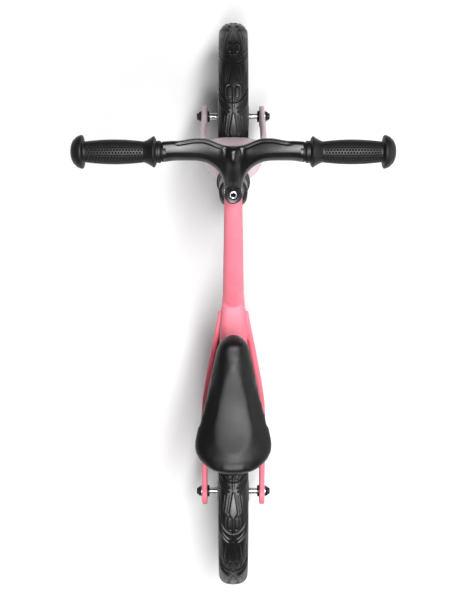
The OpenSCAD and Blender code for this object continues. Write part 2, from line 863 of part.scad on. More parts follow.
module saddle_screws() {
    color(steel) on_screws() difference() {
        union() {
            translate([0, 0, -screw_head_h]) cylinder(d = screw_head_d, h = screw_head_h);
            translate([0, 0, -tiny]) cylinder(d = screw_d, h = screw_l);
        }
        translate([0, 0, -screw_head_h - 1]) cylinder(d = 3.4, h = 2.6, $fn = 6);
    }
}

// Half width of the saddle at share t of its length, as a share of its widest half:
// a blunt nose, nearly straight flanks and a round tail
saddle_wide_at = 0.77;
saddle_nose_t = 0.1;
function saddle_half(t) =
    t > saddle_wide_at
        ? pow(max(0, 1 - pow((t - saddle_wide_at) / (1 - saddle_wide_at), 2.1)), 0.48)
        : (1 - 0.68 * pow(1 - t / saddle_wide_at, 1.12))
            * (t < saddle_nose_t ? sqrt(1 - pow(1 - t / saddle_nose_t, 2)) : 1);

// Top surface's height over the saddle cover's underside at share t of its length
function saddle_top(t) = 27 + 5 * cos(360 * (t - 0.1)) + 9 * pow(t, 3);

saddle_ends = 0.012;                      // share of the length cut off each rounded end

module saddle_cover() {
    steps = 26;
    rings = [
        for (k = [0:steps])
            let (
                t = saddle_ends + (1 - 2 * saddle_ends) * (1 - cos(180 * k / steps)) / 2,
                half_w = saddle_w / 2 * saddle_half(t),
                edge = min(1, 12 * min(t, 1 - t)),
                top = saddle_top(t) * sqrt(edge * (2 - edge))
            )
            [
                for (j = [0:ring_points - 1])
                    let (
                        q = oval(half_w, 1, 2.5, j * 360 / ring_points),
                        z = q[1] < 0 ? 0.25 * q[1] * top : q[1] * top
                    )
                    [saddle_nose_x - saddle_l * t, q[0], cover_z + 0.25 * saddle_top(t) + z * 0.8]
            ]
    ];
    color(black) difference() {
        skin(rings);
        translate([saddle_nose_x - saddle_l - 10, -saddle_w, cover_z - 50])
            cube([saddle_l + 20, 2 * saddle_w, 50]);
    }
}

// Stiff pan under the saddle cover, following its outline a little inside
module saddle_base() {
    steps = 16;
    inset = 7;
    outline = [
        for (k = [0:steps])
            let (t = 0.5 - 0.5 * cos(180 * k / steps), u = 0.05 + 0.9 * t)
            [saddle_nose_x - saddle_l * u, max(4, saddle_w / 2 * saddle_half(u) - inset)]
    ];
    other = [for (i = [steps:-1:0]) [outline[i][0], -outline[i][1]]];
    color(charcoal) difference() {
        translate([0, 0, base_z]) linear_extrude(base_t) polygon(concat(outline, other));
        on_screws() cylinder(d = screw_d, h = screw_l);
    }
}

frame();
head_cover();
upper_bush();
lower_bush();
seat_clamp();
seat_clamp_bolt();
seat_clamp_nut();
fork();
steerer_tube();
crown_shield();
handlebar();
stem_bolt();
stem_wedge();
grip_left();
grip_right();
axle(front_x);  // front_axle
spacers(front_x);  // front_spacers
inner_washers(front_x);  // front_inner_washers
outer_washers(front_x);  // front_outer_washers
axle_nuts(front_x);  // front_axle_nuts
bearing_inner_rings(front_x);  // front_bearing_inner_rings
tyre(front_x);  // front_tyre
wheel(front_x);  // front_wheel
bearing_outer_rings(front_x);  // front_bearing_outer_rings
bearing_balls(front_x);  // front_bearing_balls
axle(rear_x);  // rear_axle
spacers(rear_x);  // rear_spacers
inner_washers(rear_x);  // rear_inner_washers
outer_washers(rear_x);  // rear_outer_washers
axle_nuts(rear_x);  // rear_axle_nuts
bearing_inner_rings(rear_x);  // rear_bearing_inner_rings
tyre(rear_x);  // rear_tyre
wheel(rear_x);  // rear_wheel
bearing_outer_rings(rear_x);  // rear_bearing_outer_rings
bearing_balls(rear_x);  // rear_bearing_balls
seat_post();
saddle_base();
saddle_cover();
saddle_screws();
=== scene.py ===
# %% [markdown]
# # A balance bike, dressed around its working frame
# The working model already holds every part at its true size: frame, fork, handlebar, wheels,
# bearings and saddle. This lesson keeps that model as a fixed frame and gives each visible part
# the shape and finish that moulded plastic, foam, rubber and steel have on the real bike.
# The steps are: read the frame, make a few tools for surfaces and finishes, then build one part
# of the bike at a time, and last the floor, the light and the camera.

import json
import math

import bmesh
import bpy
import numpy as np
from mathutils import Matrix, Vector


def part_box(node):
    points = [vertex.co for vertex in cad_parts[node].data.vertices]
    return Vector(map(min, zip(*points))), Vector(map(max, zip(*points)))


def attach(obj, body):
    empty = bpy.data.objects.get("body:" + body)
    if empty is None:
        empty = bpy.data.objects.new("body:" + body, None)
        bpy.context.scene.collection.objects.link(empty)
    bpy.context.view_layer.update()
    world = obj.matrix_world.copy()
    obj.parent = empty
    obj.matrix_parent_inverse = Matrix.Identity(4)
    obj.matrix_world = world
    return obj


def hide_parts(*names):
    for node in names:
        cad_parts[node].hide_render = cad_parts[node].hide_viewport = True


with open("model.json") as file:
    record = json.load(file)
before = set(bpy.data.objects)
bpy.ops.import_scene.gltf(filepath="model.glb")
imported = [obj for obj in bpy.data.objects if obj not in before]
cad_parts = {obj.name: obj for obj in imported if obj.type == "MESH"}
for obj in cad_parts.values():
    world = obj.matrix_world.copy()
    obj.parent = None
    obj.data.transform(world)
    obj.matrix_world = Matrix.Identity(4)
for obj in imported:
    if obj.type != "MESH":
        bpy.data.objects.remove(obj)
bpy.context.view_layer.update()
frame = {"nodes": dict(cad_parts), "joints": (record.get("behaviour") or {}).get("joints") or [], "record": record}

# %% [markdown]
# ## Places that come from the frame
# Every place is worked out from the frame's joints and boxes, so a part that is changed there
# takes its dress with it. The steering axis leans back, so it gets a small coordinate system of
# its own: how far ahead of the axis, how far to the left, and how far along it, counted from the
# foot of the perpendicular that drops from the front hub.

# %% Axes and hubs
MM = 0.001
joints = {joint["name"]: joint for joint in frame["joints"]}
LEFT = np.array([0.0, 1.0, 0.0])
UP = np.array([0.0, 0.0, 1.0])
front_hub = np.array(joints["front_wheel_spin"]["pos_m"])
rear_hub = np.array(joints["rear_wheel_spin"]["pos_m"])
steer_axis = np.array(joints["steer"]["axis"])
steer_axis = steer_axis / np.linalg.norm(steer_axis)
steer_mid = np.array(joints["steer"]["pos_m"])
steer_foot = steer_mid + steer_axis * ((front_hub - steer_mid) @ steer_axis)
steer_ahead = np.cross(LEFT, steer_axis)
fork_offset = (front_hub - steer_foot) @ steer_ahead
post_axis = np.array(joints["seat_height"]["axis"])
post_axis = post_axis / np.linalg.norm(post_axis)
post_ahead = np.cross(LEFT, post_axis)
STEERING = [steer_ahead, LEFT, steer_axis]
POST = [post_ahead, LEFT, post_axis]
print("fork offset", round(fork_offset / MM, 1), "mm")


def points_of(mesh):
    """The mesh's points as an array, in metres."""
    points = np.empty(len(mesh.vertices) * 3, np.float32)
    mesh.vertices.foreach_get("co", points)
    return points.reshape(-1, 3).astype(float)


def corners(node):
    """The points of a node of the working model, in metres."""
    return points_of(frame["nodes"][node].data)


def reach(node, axis, origin):
    """Lowest and highest distance of a node along an axis, and its largest radius about it."""
    offset = corners(node) - origin
    along = offset @ axis
    across = np.linalg.norm(offset - np.outer(along, axis), axis=1)
    return along.min(), along.max(), across.max()


def steering_place(ahead, left, along):
    """Points from distances ahead of the steering axis, to its left, and along it."""
    return (steer_foot + np.multiply.outer(ahead, steer_ahead) + np.multiply.outer(left, LEFT)
            + np.multiply.outer(along, steer_axis))


# %% Stations along the steering axis
shield_low, shield_high, shield_r = reach("crown_shield", steer_axis, steer_foot)
cover_low, cover_high, cover_r = reach("head_cover", steer_axis, steer_foot)
upper_bush_high = reach("upper_bush", steer_axis, steer_foot)[1]
lower_bush_low = reach("lower_bush", steer_axis, steer_foot)[0]
steerer_r = reach("steerer_tube", steer_axis, steer_foot)[2]
bolt_low, bolt_high, bolt_r = reach("stem_bolt", steer_axis, steer_foot)
tyre_r = reach("front_tyre", LEFT, front_hub)[2]
tyre_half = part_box("front_tyre")[1].y
rim_r = reach("front_wheel", LEFT, front_hub)[2]
grip_low, grip_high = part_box("grip_left")
grip_axis = np.array([(grip_low.x + grip_high.x) / 2, 0, (grip_low.z + grip_high.z) / 2])
grip_in, grip_out = grip_low.y, grip_high.y
print("grips from", round(grip_in / MM, 1), "to", round(grip_out / MM, 1), "mm off the middle")

# %% [markdown]
# ## Surfaces from numbers
# A shell is a grid of points: rows along one parameter and columns along the other. Whole arrays
# are worked out at once, then quads join each point to its neighbours. A loop joins the last
# column to the first, and a cap closes the first and the last row. One piece may hold several
# shells, as a pair of washers does.


# %% Grids, loops and caps
def shell(points, loop_rows=False, loop_columns=True, capped=False):
    """Points[row, column] and their quads: each quad joins neighbours in both directions, the
    loops join last to first, and the caps are one flat face over the first and the last row."""
    rows, columns = points.shape[:2]
    index = np.arange(rows * columns).reshape(rows, columns)
    if loop_rows:
        index = np.vstack([index, index[:1]])
    if loop_columns:
        index = np.hstack([index, index[:, :1]])
    quads = np.stack([index[:-1, :-1], index[1:, :-1], index[1:, 1:], index[:-1, 1:]], axis=-1)
    faces = quads.reshape(-1, 4).tolist()
    if capped:
        faces += [index[0, :columns].tolist(), index[-1, columns - 1::-1].tolist()]
    return points.reshape(-1, 3), faces


def mesh_of(name, shells):
    """One mesh from shells: their points in a row and their faces renumbered."""
    points, faces, start = [], [], 0
    for shell_points, shell_faces in shells:
        points.append(shell_points)
        faces += [[corner + start for corner in face] for face in shell_faces]
        start += len(shell_points)
    mesh = bpy.data.meshes.new(name)
    mesh.from_pydata(np.concatenate(points).tolist(), [], faces)
    mesh.update()
    return mesh


def outward(mesh, merge=1e-6):
    """Merges doubles, such as a pole's points, and turns every closed shell's faces outwards."""
    work = bmesh.new()
    work.from_mesh(mesh)
    if merge:
        bmesh.ops.remove_doubles(work, verts=work.verts, dist=merge)
        bmesh.ops.dissolve_degenerate(work, edges=work.edges, dist=merge / 10)
    bmesh.ops.recalc_face_normals(work, faces=work.faces)
    work.to_mesh(mesh)
    work.free()
    return mesh


def move(mesh, points):
    """Puts the mesh's points at new places, given in metres."""
    mesh.vertices.foreach_set("co", points.astype(np.float32).ravel())


def store(mesh, name, values):
    """Writes one number at each point of the mesh, for a finish to read by its name."""
    layer = mesh.attributes.new(name, "FLOAT", "POINT")
    layer.data.foreach_set("value", np.ravel(values).astype(np.float32))


def piece(name, mesh, body, slot, stands_for=(), crease=40):
    """Puts a mesh in the scene as a part of the bike: smooth except where it bends by more than
    crease degrees, riding on its body, finished as its slot says, in place of the named nodes."""
    made = bpy.data.objects.new(name, mesh)
    bpy.context.scene.collection.objects.link(made)
    mesh.shade_smooth()
    if crease:
        mesh.set_sharp_from_angle(angle=math.radians(crease))
    mesh.materials.clear()
    mesh.materials.append(FINISHES[slot])
    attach(made, body)
    if stands_for:
        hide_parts(*stands_for)
    print(f"{name}: {len(mesh.polygons)} faces")
    return made


# %% [markdown]
# Three more tools serve nearly every part. A smooth curve goes through a few given stations.
# An edge on a moulded or turned part is never sharp, so each corner of a profile is rounded a
# little, which is what catches the light. A turned part is a profile carried round an axis.


# %% Curves, soft corners and turned parts
def through(stations, count):
    """Curve through stations: between q and r, with neighbours p and s, it is
    0.5 (2q + (r-p)t + (2p-5q+4r-s)t^2 + (3q-p-3r+s)t^3), at equal steps."""
    p = np.asarray(stations, float)
    padded = np.vstack([2 * p[0] - p[1], p, 2 * p[-1] - p[-2]])
    place = np.linspace(0, len(p) - 1, count)
    first = np.minimum(place.astype(int), len(p) - 2)
    t = (place - first)[:, None]
    a, b, c, d = (padded[first + k] for k in range(4))
    return 0.5 * (2 * b + (c - a) * t + (2 * a - 5 * b + 4 * c - d) * t**2
                  + (3 * b - a - 3 * c + d) * t**3)


def soften(profile, radius, steps=5, closed=True):
    """Profile whose corners are rounded: each corner becomes the curve
    (1-t)^2 a + 2t(1-t) corner + t^2 b, with a and b a radius before and after it."""
    p = np.asarray(profile, float)
    reach_back = np.linalg.norm(np.roll(p, 1, 0) - p, axis=1, keepdims=True)
    reach_on = np.linalg.norm(np.roll(p, -1, 0) - p, axis=1, keepdims=True)
    a = p + (np.roll(p, 1, 0) - p) * np.minimum(radius / reach_back, 0.45)
    b = p + (np.roll(p, -1, 0) - p) * np.minimum(radius / reach_on, 0.45)
    t = np.linspace(0, 1, steps)[None, :, None]
    arcs = (1 - t)**2 * a[:, None] + 2 * t * (1 - t) * p[:, None] + t**2 * b[:, None]
    if not closed:
        arcs = np.concatenate([p[:1], arcs[1:-1].reshape(-1, 2), p[-1:]])
    return arcs.reshape(-1, 2)


def ring_profile(inner, outer, low, high, radius):
    """Section of a plain ring, as [radius, distance along], with its four corners rounded."""
    return soften([[inner, low], [outer, low], [outer, high], [inner, high]], radius)


def turned(profile, origin, axis, sides=96, closed=True, flats=0, flat_share=None):
    """Shell of a profile of [radius, distance along] carried round an axis. With flats, the
    radius at each angle is that of a polygon, mixed in by the share given for each point."""
    profile = np.asarray(profile, float)
    side = np.cross(axis, UP if abs(axis[2]) < 0.9 else LEFT)
    side = side / np.linalg.norm(side)
    other = np.cross(axis, side)
    angle = np.arange(sides) * 2 * np.pi / sides
    radius = np.repeat(profile[:, :1], sides, axis=1)
    if flats:
        half = np.pi / flats
        polygon = np.cos(half) / np.cos((angle + half) % (2 * half) - half)
        radius = radius * (1 + (polygon - 1) * np.asarray(flat_share)[:, None])
    round_axis = np.outer(np.cos(angle), side) + np.outer(np.sin(angle), other)
    points = (origin + radius[:, :, None] * round_axis[None]
              + profile[:, 1][:, None, None] * np.asarray(axis)[None, None])
    return shell(points, loop_rows=closed)


def smooth_step(low, high, x):
    """0 below low, 1 above high, and 3t^2 - 2t^3 between them."""
    t = np.clip((x - low) / (high - low), 0, 1)
    return t * t * (3 - 2 * t)


def bell(x, width):
    """Bell curve exp(-(x/width)^2): 1 at the middle, 0.37 at one width."""
    return np.exp(-(x / width)**2)


def oval(half_a, half_b, squareness, angle):
    """Superellipse: half_a sign(cos) |cos|^(2/n) and half_b sign(sin) |sin|^(2/n)."""
    cos, sin = np.cos(angle), np.sin(angle)
    power = 2 / squareness
    return half_a * np.sign(cos) * np.abs(cos)**power, half_b * np.sign(sin) * np.abs(sin)**power


# %% [markdown]
# ## Finishes as expressions
# A material is a sum of small patterns: how the colour drifts, where it is dull, how the surface
# is grained. Written as node wiring that is hard to read, so a socket is wrapped in a class that
# understands plus, minus, times and divide, and a pattern reads like the formula that it is.


# %% Sockets that add and multiply
class Value:
    """A number that varies over a surface. Each operator adds one Math node."""

    def __init__(self, finish, socket):
        self.finish = finish
        self.socket = socket

    def maths(self, operation, *terms):
        return self.finish.node("ShaderNodeMath", {"operation": operation}, dict(enumerate(terms)))

    def __add__(self, other):
        return self.maths("ADD", self, other)

    def __sub__(self, other):
        return self.maths("SUBTRACT", self, other)

    def __rsub__(self, other):
        return self.maths("SUBTRACT", other, self)

    def __mul__(self, other):
        return self.maths("MULTIPLY", self, other)

    def __truediv__(self, other):
        return self.maths("DIVIDE", self, other)

    __radd__ = __add__
    __rmul__ = __mul__

    def between(self, low, high):
        """0 where the value is below low, 1 above high, smooth between."""
        settings = {"interpolation_type": "SMOOTHSTEP"}
        inputs = {"Value": self, "From Min": low, "From Max": high}
        return self.finish.node("ShaderNodeMapRange", settings, inputs)


class Finish:
    """One material. node() adds any node: its settings are set first, then its sockets."""

    def __init__(self, name, **constants):
        self.material = bpy.data.materials.new(name)
        self.material.use_nodes = True
        self.tree = self.material.node_tree
        self.tree.nodes.clear()
        self.surface = self.tree.nodes.new("ShaderNodeBsdfPrincipled")
        output = self.tree.nodes.new("ShaderNodeOutputMaterial")
        self.tree.links.new(self.surface.outputs[0], output.inputs["Surface"])
        for socket, value in constants.items():
            self.surface.inputs[socket.replace("_", " ")].default_value = value
        self.place = self.node("ShaderNodeTexCoord", output="Object")

    def node(self, kind, settings=None, inputs=None, output=0):
        made = self.tree.nodes.new(kind)
        for name, setting in (settings or {}).items():
            setattr(made, name, setting)
        for socket, value in (inputs or {}).items():
            self.plug(made.inputs[socket], value)
        return Value(self, made.outputs[output])

    def plug(self, socket, value):
        if isinstance(value, Value):
            self.tree.links.new(value.socket, socket)
        else:
            socket.default_value = value

    def feed(self, **values):
        for socket, value in values.items():
            self.plug(self.surface.inputs[socket.replace("_", " ")], value)

    def blotches(self, size, detail=3.0, at=None):
        """Cloudy noise from 0 to 1, with patches of about this size in metres."""
        inputs = {"Vector": at or self.place, "Scale": 1 / size, "Detail": detail}
        return self.node("ShaderNodeTexNoise", None, inputs)

    def cells(self, size, feature="DISTANCE_TO_EDGE"):
        """Distance to the edges of cells of about this size in metres, as in grained leather."""
        inputs = {"Vector": self.place, "Scale": 1 / size}
        return self.node("ShaderNodeTexVoronoi", {"feature": feature}, inputs)

    def stretched(self, x, y, z):
        """The place on the object, stretched along each axis, so that patterns run in lines."""
        settings = {"operation": "MULTIPLY"}
        return self.node("ShaderNodeVectorMath", settings, {0: self.place, 1: (x, y, z)})

    def attribute(self, name):
        return self.node("ShaderNodeAttribute", {"attribute_name": name}, output="Fac")

    def colours(self, share, first, second):
        """Colour that goes from first to second as share goes from 0 to 1."""
        settings = {"data_type": "RGBA"}
        inputs = {"Factor": share, 6: first, 7: second}
        return self.node("ShaderNodeMix", settings, inputs, output=2)

    def relief(self, height, depth):
        """Bumps of this depth in metres where height goes from 0 to 1."""
        self.feed(Normal=self.node("ShaderNodeBump", None, {"Height": height, "Distance": depth}))


def colour(red, green, blue):
    """Colour as light amounts, from the 0 to 255 values that a paint chart shows."""
    chart = np.array([red, green, blue]) / 255
    light = np.where(chart <= 0.04045, chart / 12.92, ((chart + 0.055) / 1.055)**2.4)
    return (*light.tolist(), 1.0)


# %% [markdown]
# ## Moulded plastic
# The frame and fork are glass-filled nylon, moulded in two shades of pink with a fine spark-eroded
# texture that turns gloss into a soft sheen. The pattern has three layers: grain a fifth of a
# millimetre across, faint flow marks where the melt cooled, and a colour that drifts by a shade.


# %% Plastic finishes
def moulded_plastic(name, base, deep, roughness, grain=0.00022, depth=0.00003, coat=0.0):
    """Satin plastic: colour drifts from deep to base, and grain breaks up the gloss."""
    finish = Finish(name, IOR=1.5, Coat_Weight=coat, Coat_Roughness=0.3)
    drift = finish.blotches(0.06, 4.0)
    flow = finish.blotches(0.012, 2.0, at=finish.stretched(0.35, 1.0, 1.0))
    speckle = finish.blotches(grain, 2.0)
    finish.feed(
        Base_Color=finish.colours((drift * 0.7 + flow * 0.3).between(0.35, 0.65), deep, base),
        Roughness=roughness + (flow - 0.5) * 0.10 + (speckle - 0.5) * 0.06,
    )
    finish.relief(speckle + flow * 0.4, depth)
    return finish.material


FINISHES = {
    "frame_pink": moulded_plastic("coral_moulding", colour(247, 128, 146), colour(242, 120, 139), 0.55),
    "fork_pale_pink": moulded_plastic("blush_moulding", colour(232, 210, 216), colour(226, 202, 209),
                                      0.52),
    "black_plastic": moulded_plastic("black_moulding", colour(13, 13, 14), colour(9, 9, 10), 0.36,
                                     depth=0.00004),
    "wheel_plastic": moulded_plastic("wheel_moulding", colour(26, 26, 28), colour(20, 20, 22), 0.46,
                                     grain=0.0004, depth=0.00005),
    "base_plastic": moulded_plastic("seat_pan_moulding", colour(36, 36, 37), colour(28, 28, 29), 0.6,
                                    grain=0.0006, depth=0.00008),
    "bush_plastic": moulded_plastic("bearing_plastic", colour(62, 62, 64), colour(54, 54, 56), 0.35),
}
print("plastics:", len(FINISHES))

# %% [markdown]
# ## Foam, rubber and leather
# The tyres are moulded foam: tiny closed pores and a dull skin, a little glossier on the blocks
# that meet the floor, with painted shade darkening the grooves. The grips are soft rubber with
# painted shade darkening its dimples. Both patterns read a "raised" value stored on the mesh,
# which is 1 on the high parts and 0 in the low ones.
# The saddle's cover is thin synthetic leather with a fine pebbled grain.


# %% Soft finishes
def foam_finish():
    """Foam skin: pores half a millimetre across, glossier where it is raised, and painted shade
    that darkens the low parts of the tread.
    """
    finish = Finish("moulded_foam", IOR=1.5)
    raised = finish.attribute("raised")
    pores = finish.blotches(0.0005, 3.0)
    scuffs = finish.blotches(0.009, 4.0).between(0.45, 0.75)
    # painted shade: the colour darkens from the raised blocks down into the grooves; scuffs and pores vary the
    # tone
    shade = (raised * 0.6 + scuffs * 0.25 + pores * 0.15).between(0.1, 0.95)
    finish.feed(
        Base_Color=finish.colours(shade, colour(4, 4, 5), colour(16, 16, 17)),
        Roughness=0.52 - raised * 0.16 + (pores - 0.5) * 0.10 + scuffs * 0.06,
    )
    finish.relief(pores + scuffs * 0.3, 0.00006)
    return finish.material


def rubber_finish():
    """Grip rubber: fine skin grain, with painted shade that darkens the low places."""
    finish = Finish("grip_rubber_skin", IOR=1.42)
    raised = finish.attribute("raised")
    grain = finish.blotches(0.0003, 2.0)
    worn = finish.blotches(0.02, 3.0).between(0.4, 0.7)
    # painted shade: the colour darkens from the raised skin into the dimples
    finish.feed(
        Base_Color=finish.colours(raised * 0.7 + grain * 0.3, colour(3, 3, 3), colour(20, 20, 21)),
        Roughness=0.95 - raised * 0.47 - worn * 0.06 + (grain - 0.5) * 0.12,
    )
    finish.relief(grain, 0.00004)
    return finish.material


def leather_finish():
    """Synthetic leather: pebbles about a millimetre across with fine creases between them."""
    finish = Finish("fine_grained_leather", IOR=1.42)
    pebbles = finish.cells(0.0011).between(0.0, 0.16)
    fine = finish.blotches(0.0004, 2.0)
    handled = finish.blotches(0.035, 3.0).between(0.35, 0.7)
    finish.feed(
        Base_Color=finish.colours(pebbles * 0.5 + handled * 0.5, colour(5, 5, 6), colour(11, 11, 12)),
        Roughness=0.50 - pebbles * 0.06 - handled * 0.04 + (fine - 0.5) * 0.08,
    )
    finish.relief(pebbles * 0.8 + fine * 0.2, 0.00005)
    return finish.material


FINISHES["foam_tyre"] = foam_finish()
FINISHES["grip_rubber"] = rubber_finish()
FINISHES["saddle_leather"] = leather_finish()
print("soft finishes:", 3)

# %% [markdown]
# ## Steel
# Bright parts are turned on a lathe, so fine lines run round their axis. Black parts are dipped in
# a dark oxide that wears to grey in patches, and the seat post is sprayed black and carries long
# faint rubs from being pushed up and down.


# %% Metal finishes
def turned_steel(name, base, dull, roughness, lines_along):
    """Turned steel: lines crowd along the lathe's axis, patches of handling dull it, and painted
    shade, a value stored on the mesh, blackens the inside of sockets."""
    finish = Finish(name, Metallic=1.0)
    lines = finish.blotches(0.004, 2.0, at=finish.stretched(*lines_along))
    smudge = finish.blotches(0.006, 3.0)
    # painted shade: a stored value of 1, inside a socket, turns the colour near black
    socket_shade = finish.attribute("socket_shade")
    finish.feed(
        Base_Color=finish.colours(socket_shade, finish.colours(smudge.between(0.3, 0.8), base, dull),
                                  colour(14, 14, 15)),
        Roughness=roughness + lines * 0.12 + smudge.between(0.45, 0.8) * 0.08,
    )
    finish.relief(lines, 0.000008)
    return finish.material


def dark_steel(name, base, worn, roughness, rub_along=(1.0, 1.0, 1.0), rub_size=0.005):
    """Blackened steel: a dark coat with patches or rubs where grey shows through."""
    finish = Finish(name, Metallic=0.35, IOR=1.5)
    rubs = finish.blotches(rub_size, 4.0, at=finish.stretched(*rub_along)).between(0.52, 0.8)
    grain = finish.blotches(0.0003, 2.0)
    finish.feed(
        Base_Color=finish.colours(rubs, base, worn),
        Roughness=roughness + rubs * 0.08 + (grain - 0.5) * 0.1,
    )
    finish.relief(grain, 0.00002)
    return finish.material


FINISHES["bright_steel"] = turned_steel("polished_steel", colour(226, 227, 230), colour(196, 197, 200),
                                        0.26, (0.6, 12.0, 0.6))
FINISHES["bearing_steel"] = turned_steel("ground_steel", colour(205, 206, 210), colour(176, 177, 181),
                                         0.2, (0.5, 16.0, 0.5))
FINISHES["black_metal"] = dark_steel("black_oxide", colour(24, 24, 26), colour(70, 70, 73), 0.34)
FINISHES["post_steel"] = dark_steel("sprayed_post", colour(26, 26, 28), colour(58, 58, 60), 0.34,
                                    (6.0, 6.0, 0.4), 0.02)
slots = {part["node"]: part["material_slot"] for part in frame["record"]["subparts"]}
for node, slot_name in slots.items():
    mesh = frame["nodes"][node].data
    mesh.materials.clear()
    mesh.materials.append(FINISHES[slot_name])
print("finishes:", len(FINISHES), "on", len(slots), "frame nodes")

# %% [markdown]
# ## Tyres
# A toddler's tyre is one ring of foam with its tread moulded in. The tread is a height over two
# distances: round the tyre and across it. Twelve identical figures make a turn. Each has a pointed
# rib that widens from its tip, two straight bars beside it, two shield-shaped blocks, and grooves
# that curve from shoulder to shoulder behind them. Displacing the surface by that height gives
# real blocks and grooves, which a bump map would lose at the tyre's outline.

# %% Tyre section
FIGURES = 12
TREAD_COLUMNS = 35
TYRE_STEPS = 1056
CROWN = 17 * MM
SEAT_HALF = tyre_half - 6 * MM


def tyre_section():
    """Half of the tyre's outline from the crown to the rim seat: [radius, distance across], with
    the distance run along it. The crown is a flattened arc, and the side tucks in to the rim."""
    angle = np.linspace(np.pi / 2, 0, 60)
    crown = np.stack([tyre_r - CROWN + CROWN * np.sin(angle)**0.9, tyre_half * np.cos(angle)**0.8], 1)
    tuck = np.linspace(np.pi / 2, 0, 24)
    side = np.stack([rim_r + (2 + 9 * tuck / (np.pi / 2)) * MM,
                     SEAT_HALF + 1 * MM + 5 * MM * np.sin(tuck)], 1)
    seat = np.array([[rim_r + 0.4 * MM, SEAT_HALF + 0.6 * MM], [rim_r, SEAT_HALF], [rim_r, 0]])
    line = np.concatenate([crown, side, seat])
    run = np.concatenate([[0], np.cumsum(np.linalg.norm(np.diff(line, axis=0), axis=1))])
    across = np.concatenate([np.linspace(0, 31 * MM, TREAD_COLUMNS),
                             np.linspace(32.5 * MM, run[-1], 14)])
    half = np.stack([np.interp(across, run, line[:, 0]), np.interp(across, run, line[:, 1])], 1)
    return half, across


# %% Tread figure
FIGURE = 2 * np.pi * tyre_r / FIGURES / MM


def tread(back, across):
    """Height of the tread in millimetres, 0 at its top, for distances in millimetres behind a
    figure's tip and across from the middle: zones of bell curves added to a base 0.7 deep."""
    back = back % FIGURE
    rib_edge = np.interp(back, [0, 3, 31, 39, 60, FIGURE], [0, 1.2, 6.0, 1.3, 1.3, 0])
    rib = smooth_step(0.9, 0, across - rib_edge) * smooth_step(0, 3, back)
    rib_line = bell(across - rib_edge - 1.0, 0.7) * smooth_step(0, 4, back) * smooth_step(62, 58, back)
    bar_at = np.interp(back, [5, 30], [8.4, 12.0])
    bar_span = smooth_step(4, 7, back) * smooth_step(33, 29, back)
    bar = bell(across - bar_at, 1.3) * bar_span
    bar_line = (bell(across - bar_at - 2.5, 0.9) + 0.7 * bell(across - bar_at + 2.2, 0.7)) * bar_span
    shield = ((np.abs(back - 45.5) / 8.2)**3 + (np.abs(across - 5.9) / 3.5)**3)**(1 / 3)
    block = smooth_step(1.0, 0.86, shield)
    block_line = bell((shield - 1.14) * 4, 0.55)
    height = -0.7 + 0.7 * np.maximum.reduce([rib, bar, block])
    height -= 0.8 * np.maximum.reduce([rib_line, bar_line, block_line * (back > 30)])
    for offset, deep, inner in ((0, 1.2, 0.0), (9, 1.0, 6.0), (15, 1.0, 7.0)):
        behind = back - (60 + offset - 0.04 * across**2)
        behind = (behind + FIGURE / 2) % FIGURE - FIGURE / 2
        behind = behind / np.sqrt(1 + (0.08 * across)**2)
        span = smooth_step(inner - 2, inner + 1, across)
        height -= deep * bell(behind, 1.1) * span
        height += 0.65 * bell(behind - 2.2, 0.9) * span * (height < -0.2)
    side_lines = bell(across - 18.0, 0.8) * smooth_step(14, 20, back) * smooth_step(46, 40, back)
    side_lines += bell(across - 21.5, 0.8) * smooth_step(6, 12, back) * smooth_step(40, 34, back)
    height -= 0.8 * side_lines
    return np.minimum(height, 0) * smooth_step(27, 22.5, across)


# %% Both tyres
def tyre(name, hub, tip_angle, body, node):
    """Grid of angle round the hub and place across the section, sunk by the tread's height along
    the section's own normal, with a raised value of 1 at the top of the tread."""
    half, across = tyre_section()
    section = np.concatenate([half[::-1] * [1, -1], half[1:]])
    run = np.concatenate([across[::-1], across[1:]]) / MM
    slope = np.gradient(section, axis=0)
    normal = np.stack([slope[:, 1], -slope[:, 0]], 1)
    normal /= np.linalg.norm(normal, axis=1, keepdims=True)
    angle = np.arange(TYRE_STEPS) * 2 * np.pi / TYRE_STEPS
    back = (np.radians(tip_angle) - angle) * tyre_r / MM
    height = tread(back[:, None], run[None, :])
    rings = 0.45 * (bell(run - 33, 0.9) + bell(run - 36.5, 0.9)) * (section[:, 0] > rim_r + 3 * MM)
    lift = (height - rings[None, :]) * MM
    radius = section[None, :, 0] + lift * normal[None, :, 0]
    side = section[None, :, 1] + lift * normal[None, :, 1]
    radial = np.stack([np.sin(angle), np.zeros_like(angle), np.cos(angle)], 1)
    points = hub + radius[:, :, None] * radial[:, None, :] + side[:, :, None] * LEFT
    columns = slice(0, points.shape[1] - 1)
    mesh = outward(mesh_of(name, [shell(points[:, columns], loop_rows=True)]), merge=0)
    raised = 1 + np.clip(height[:, columns], -1.6, 0) / 1.6
    store(mesh, "raised", raised)
    return piece(name, mesh, body, "foam_tyre", [node], crease=0)


tyre("tyre_at_front", front_hub, 21.7, "front_wheel", "front_tyre")
tyre("tyre_at_rear", rear_hub, 11.0, "rear_wheel", "rear_tyre")

# %% [markdown]
# ## Grips
# Each grip is one rubber moulding: a collar and a guard flange that keep the hand from the bar,
# a barrel that is fullest where the palm rests, and a mushroom end, ringed by three fine grooves,
# that protects a child who falls on it. Its outline is a profile turned round the bar, and rows of
# small round dimples are pressed into the barrel, all but a smooth band on the front. The dimples
# are cut into the mesh, because light from the side shows them as holes.

# %% Grip profile
DIMPLE_PITCH = 3.5
DIMPLE_ROW = 3.2
DIMPLE_ROWS = 26
DIMPLE_R = 1.05
DIMPLE_DEEP = 1.3
BARREL_FROM, BARREL_TO = 23.2, 90.2


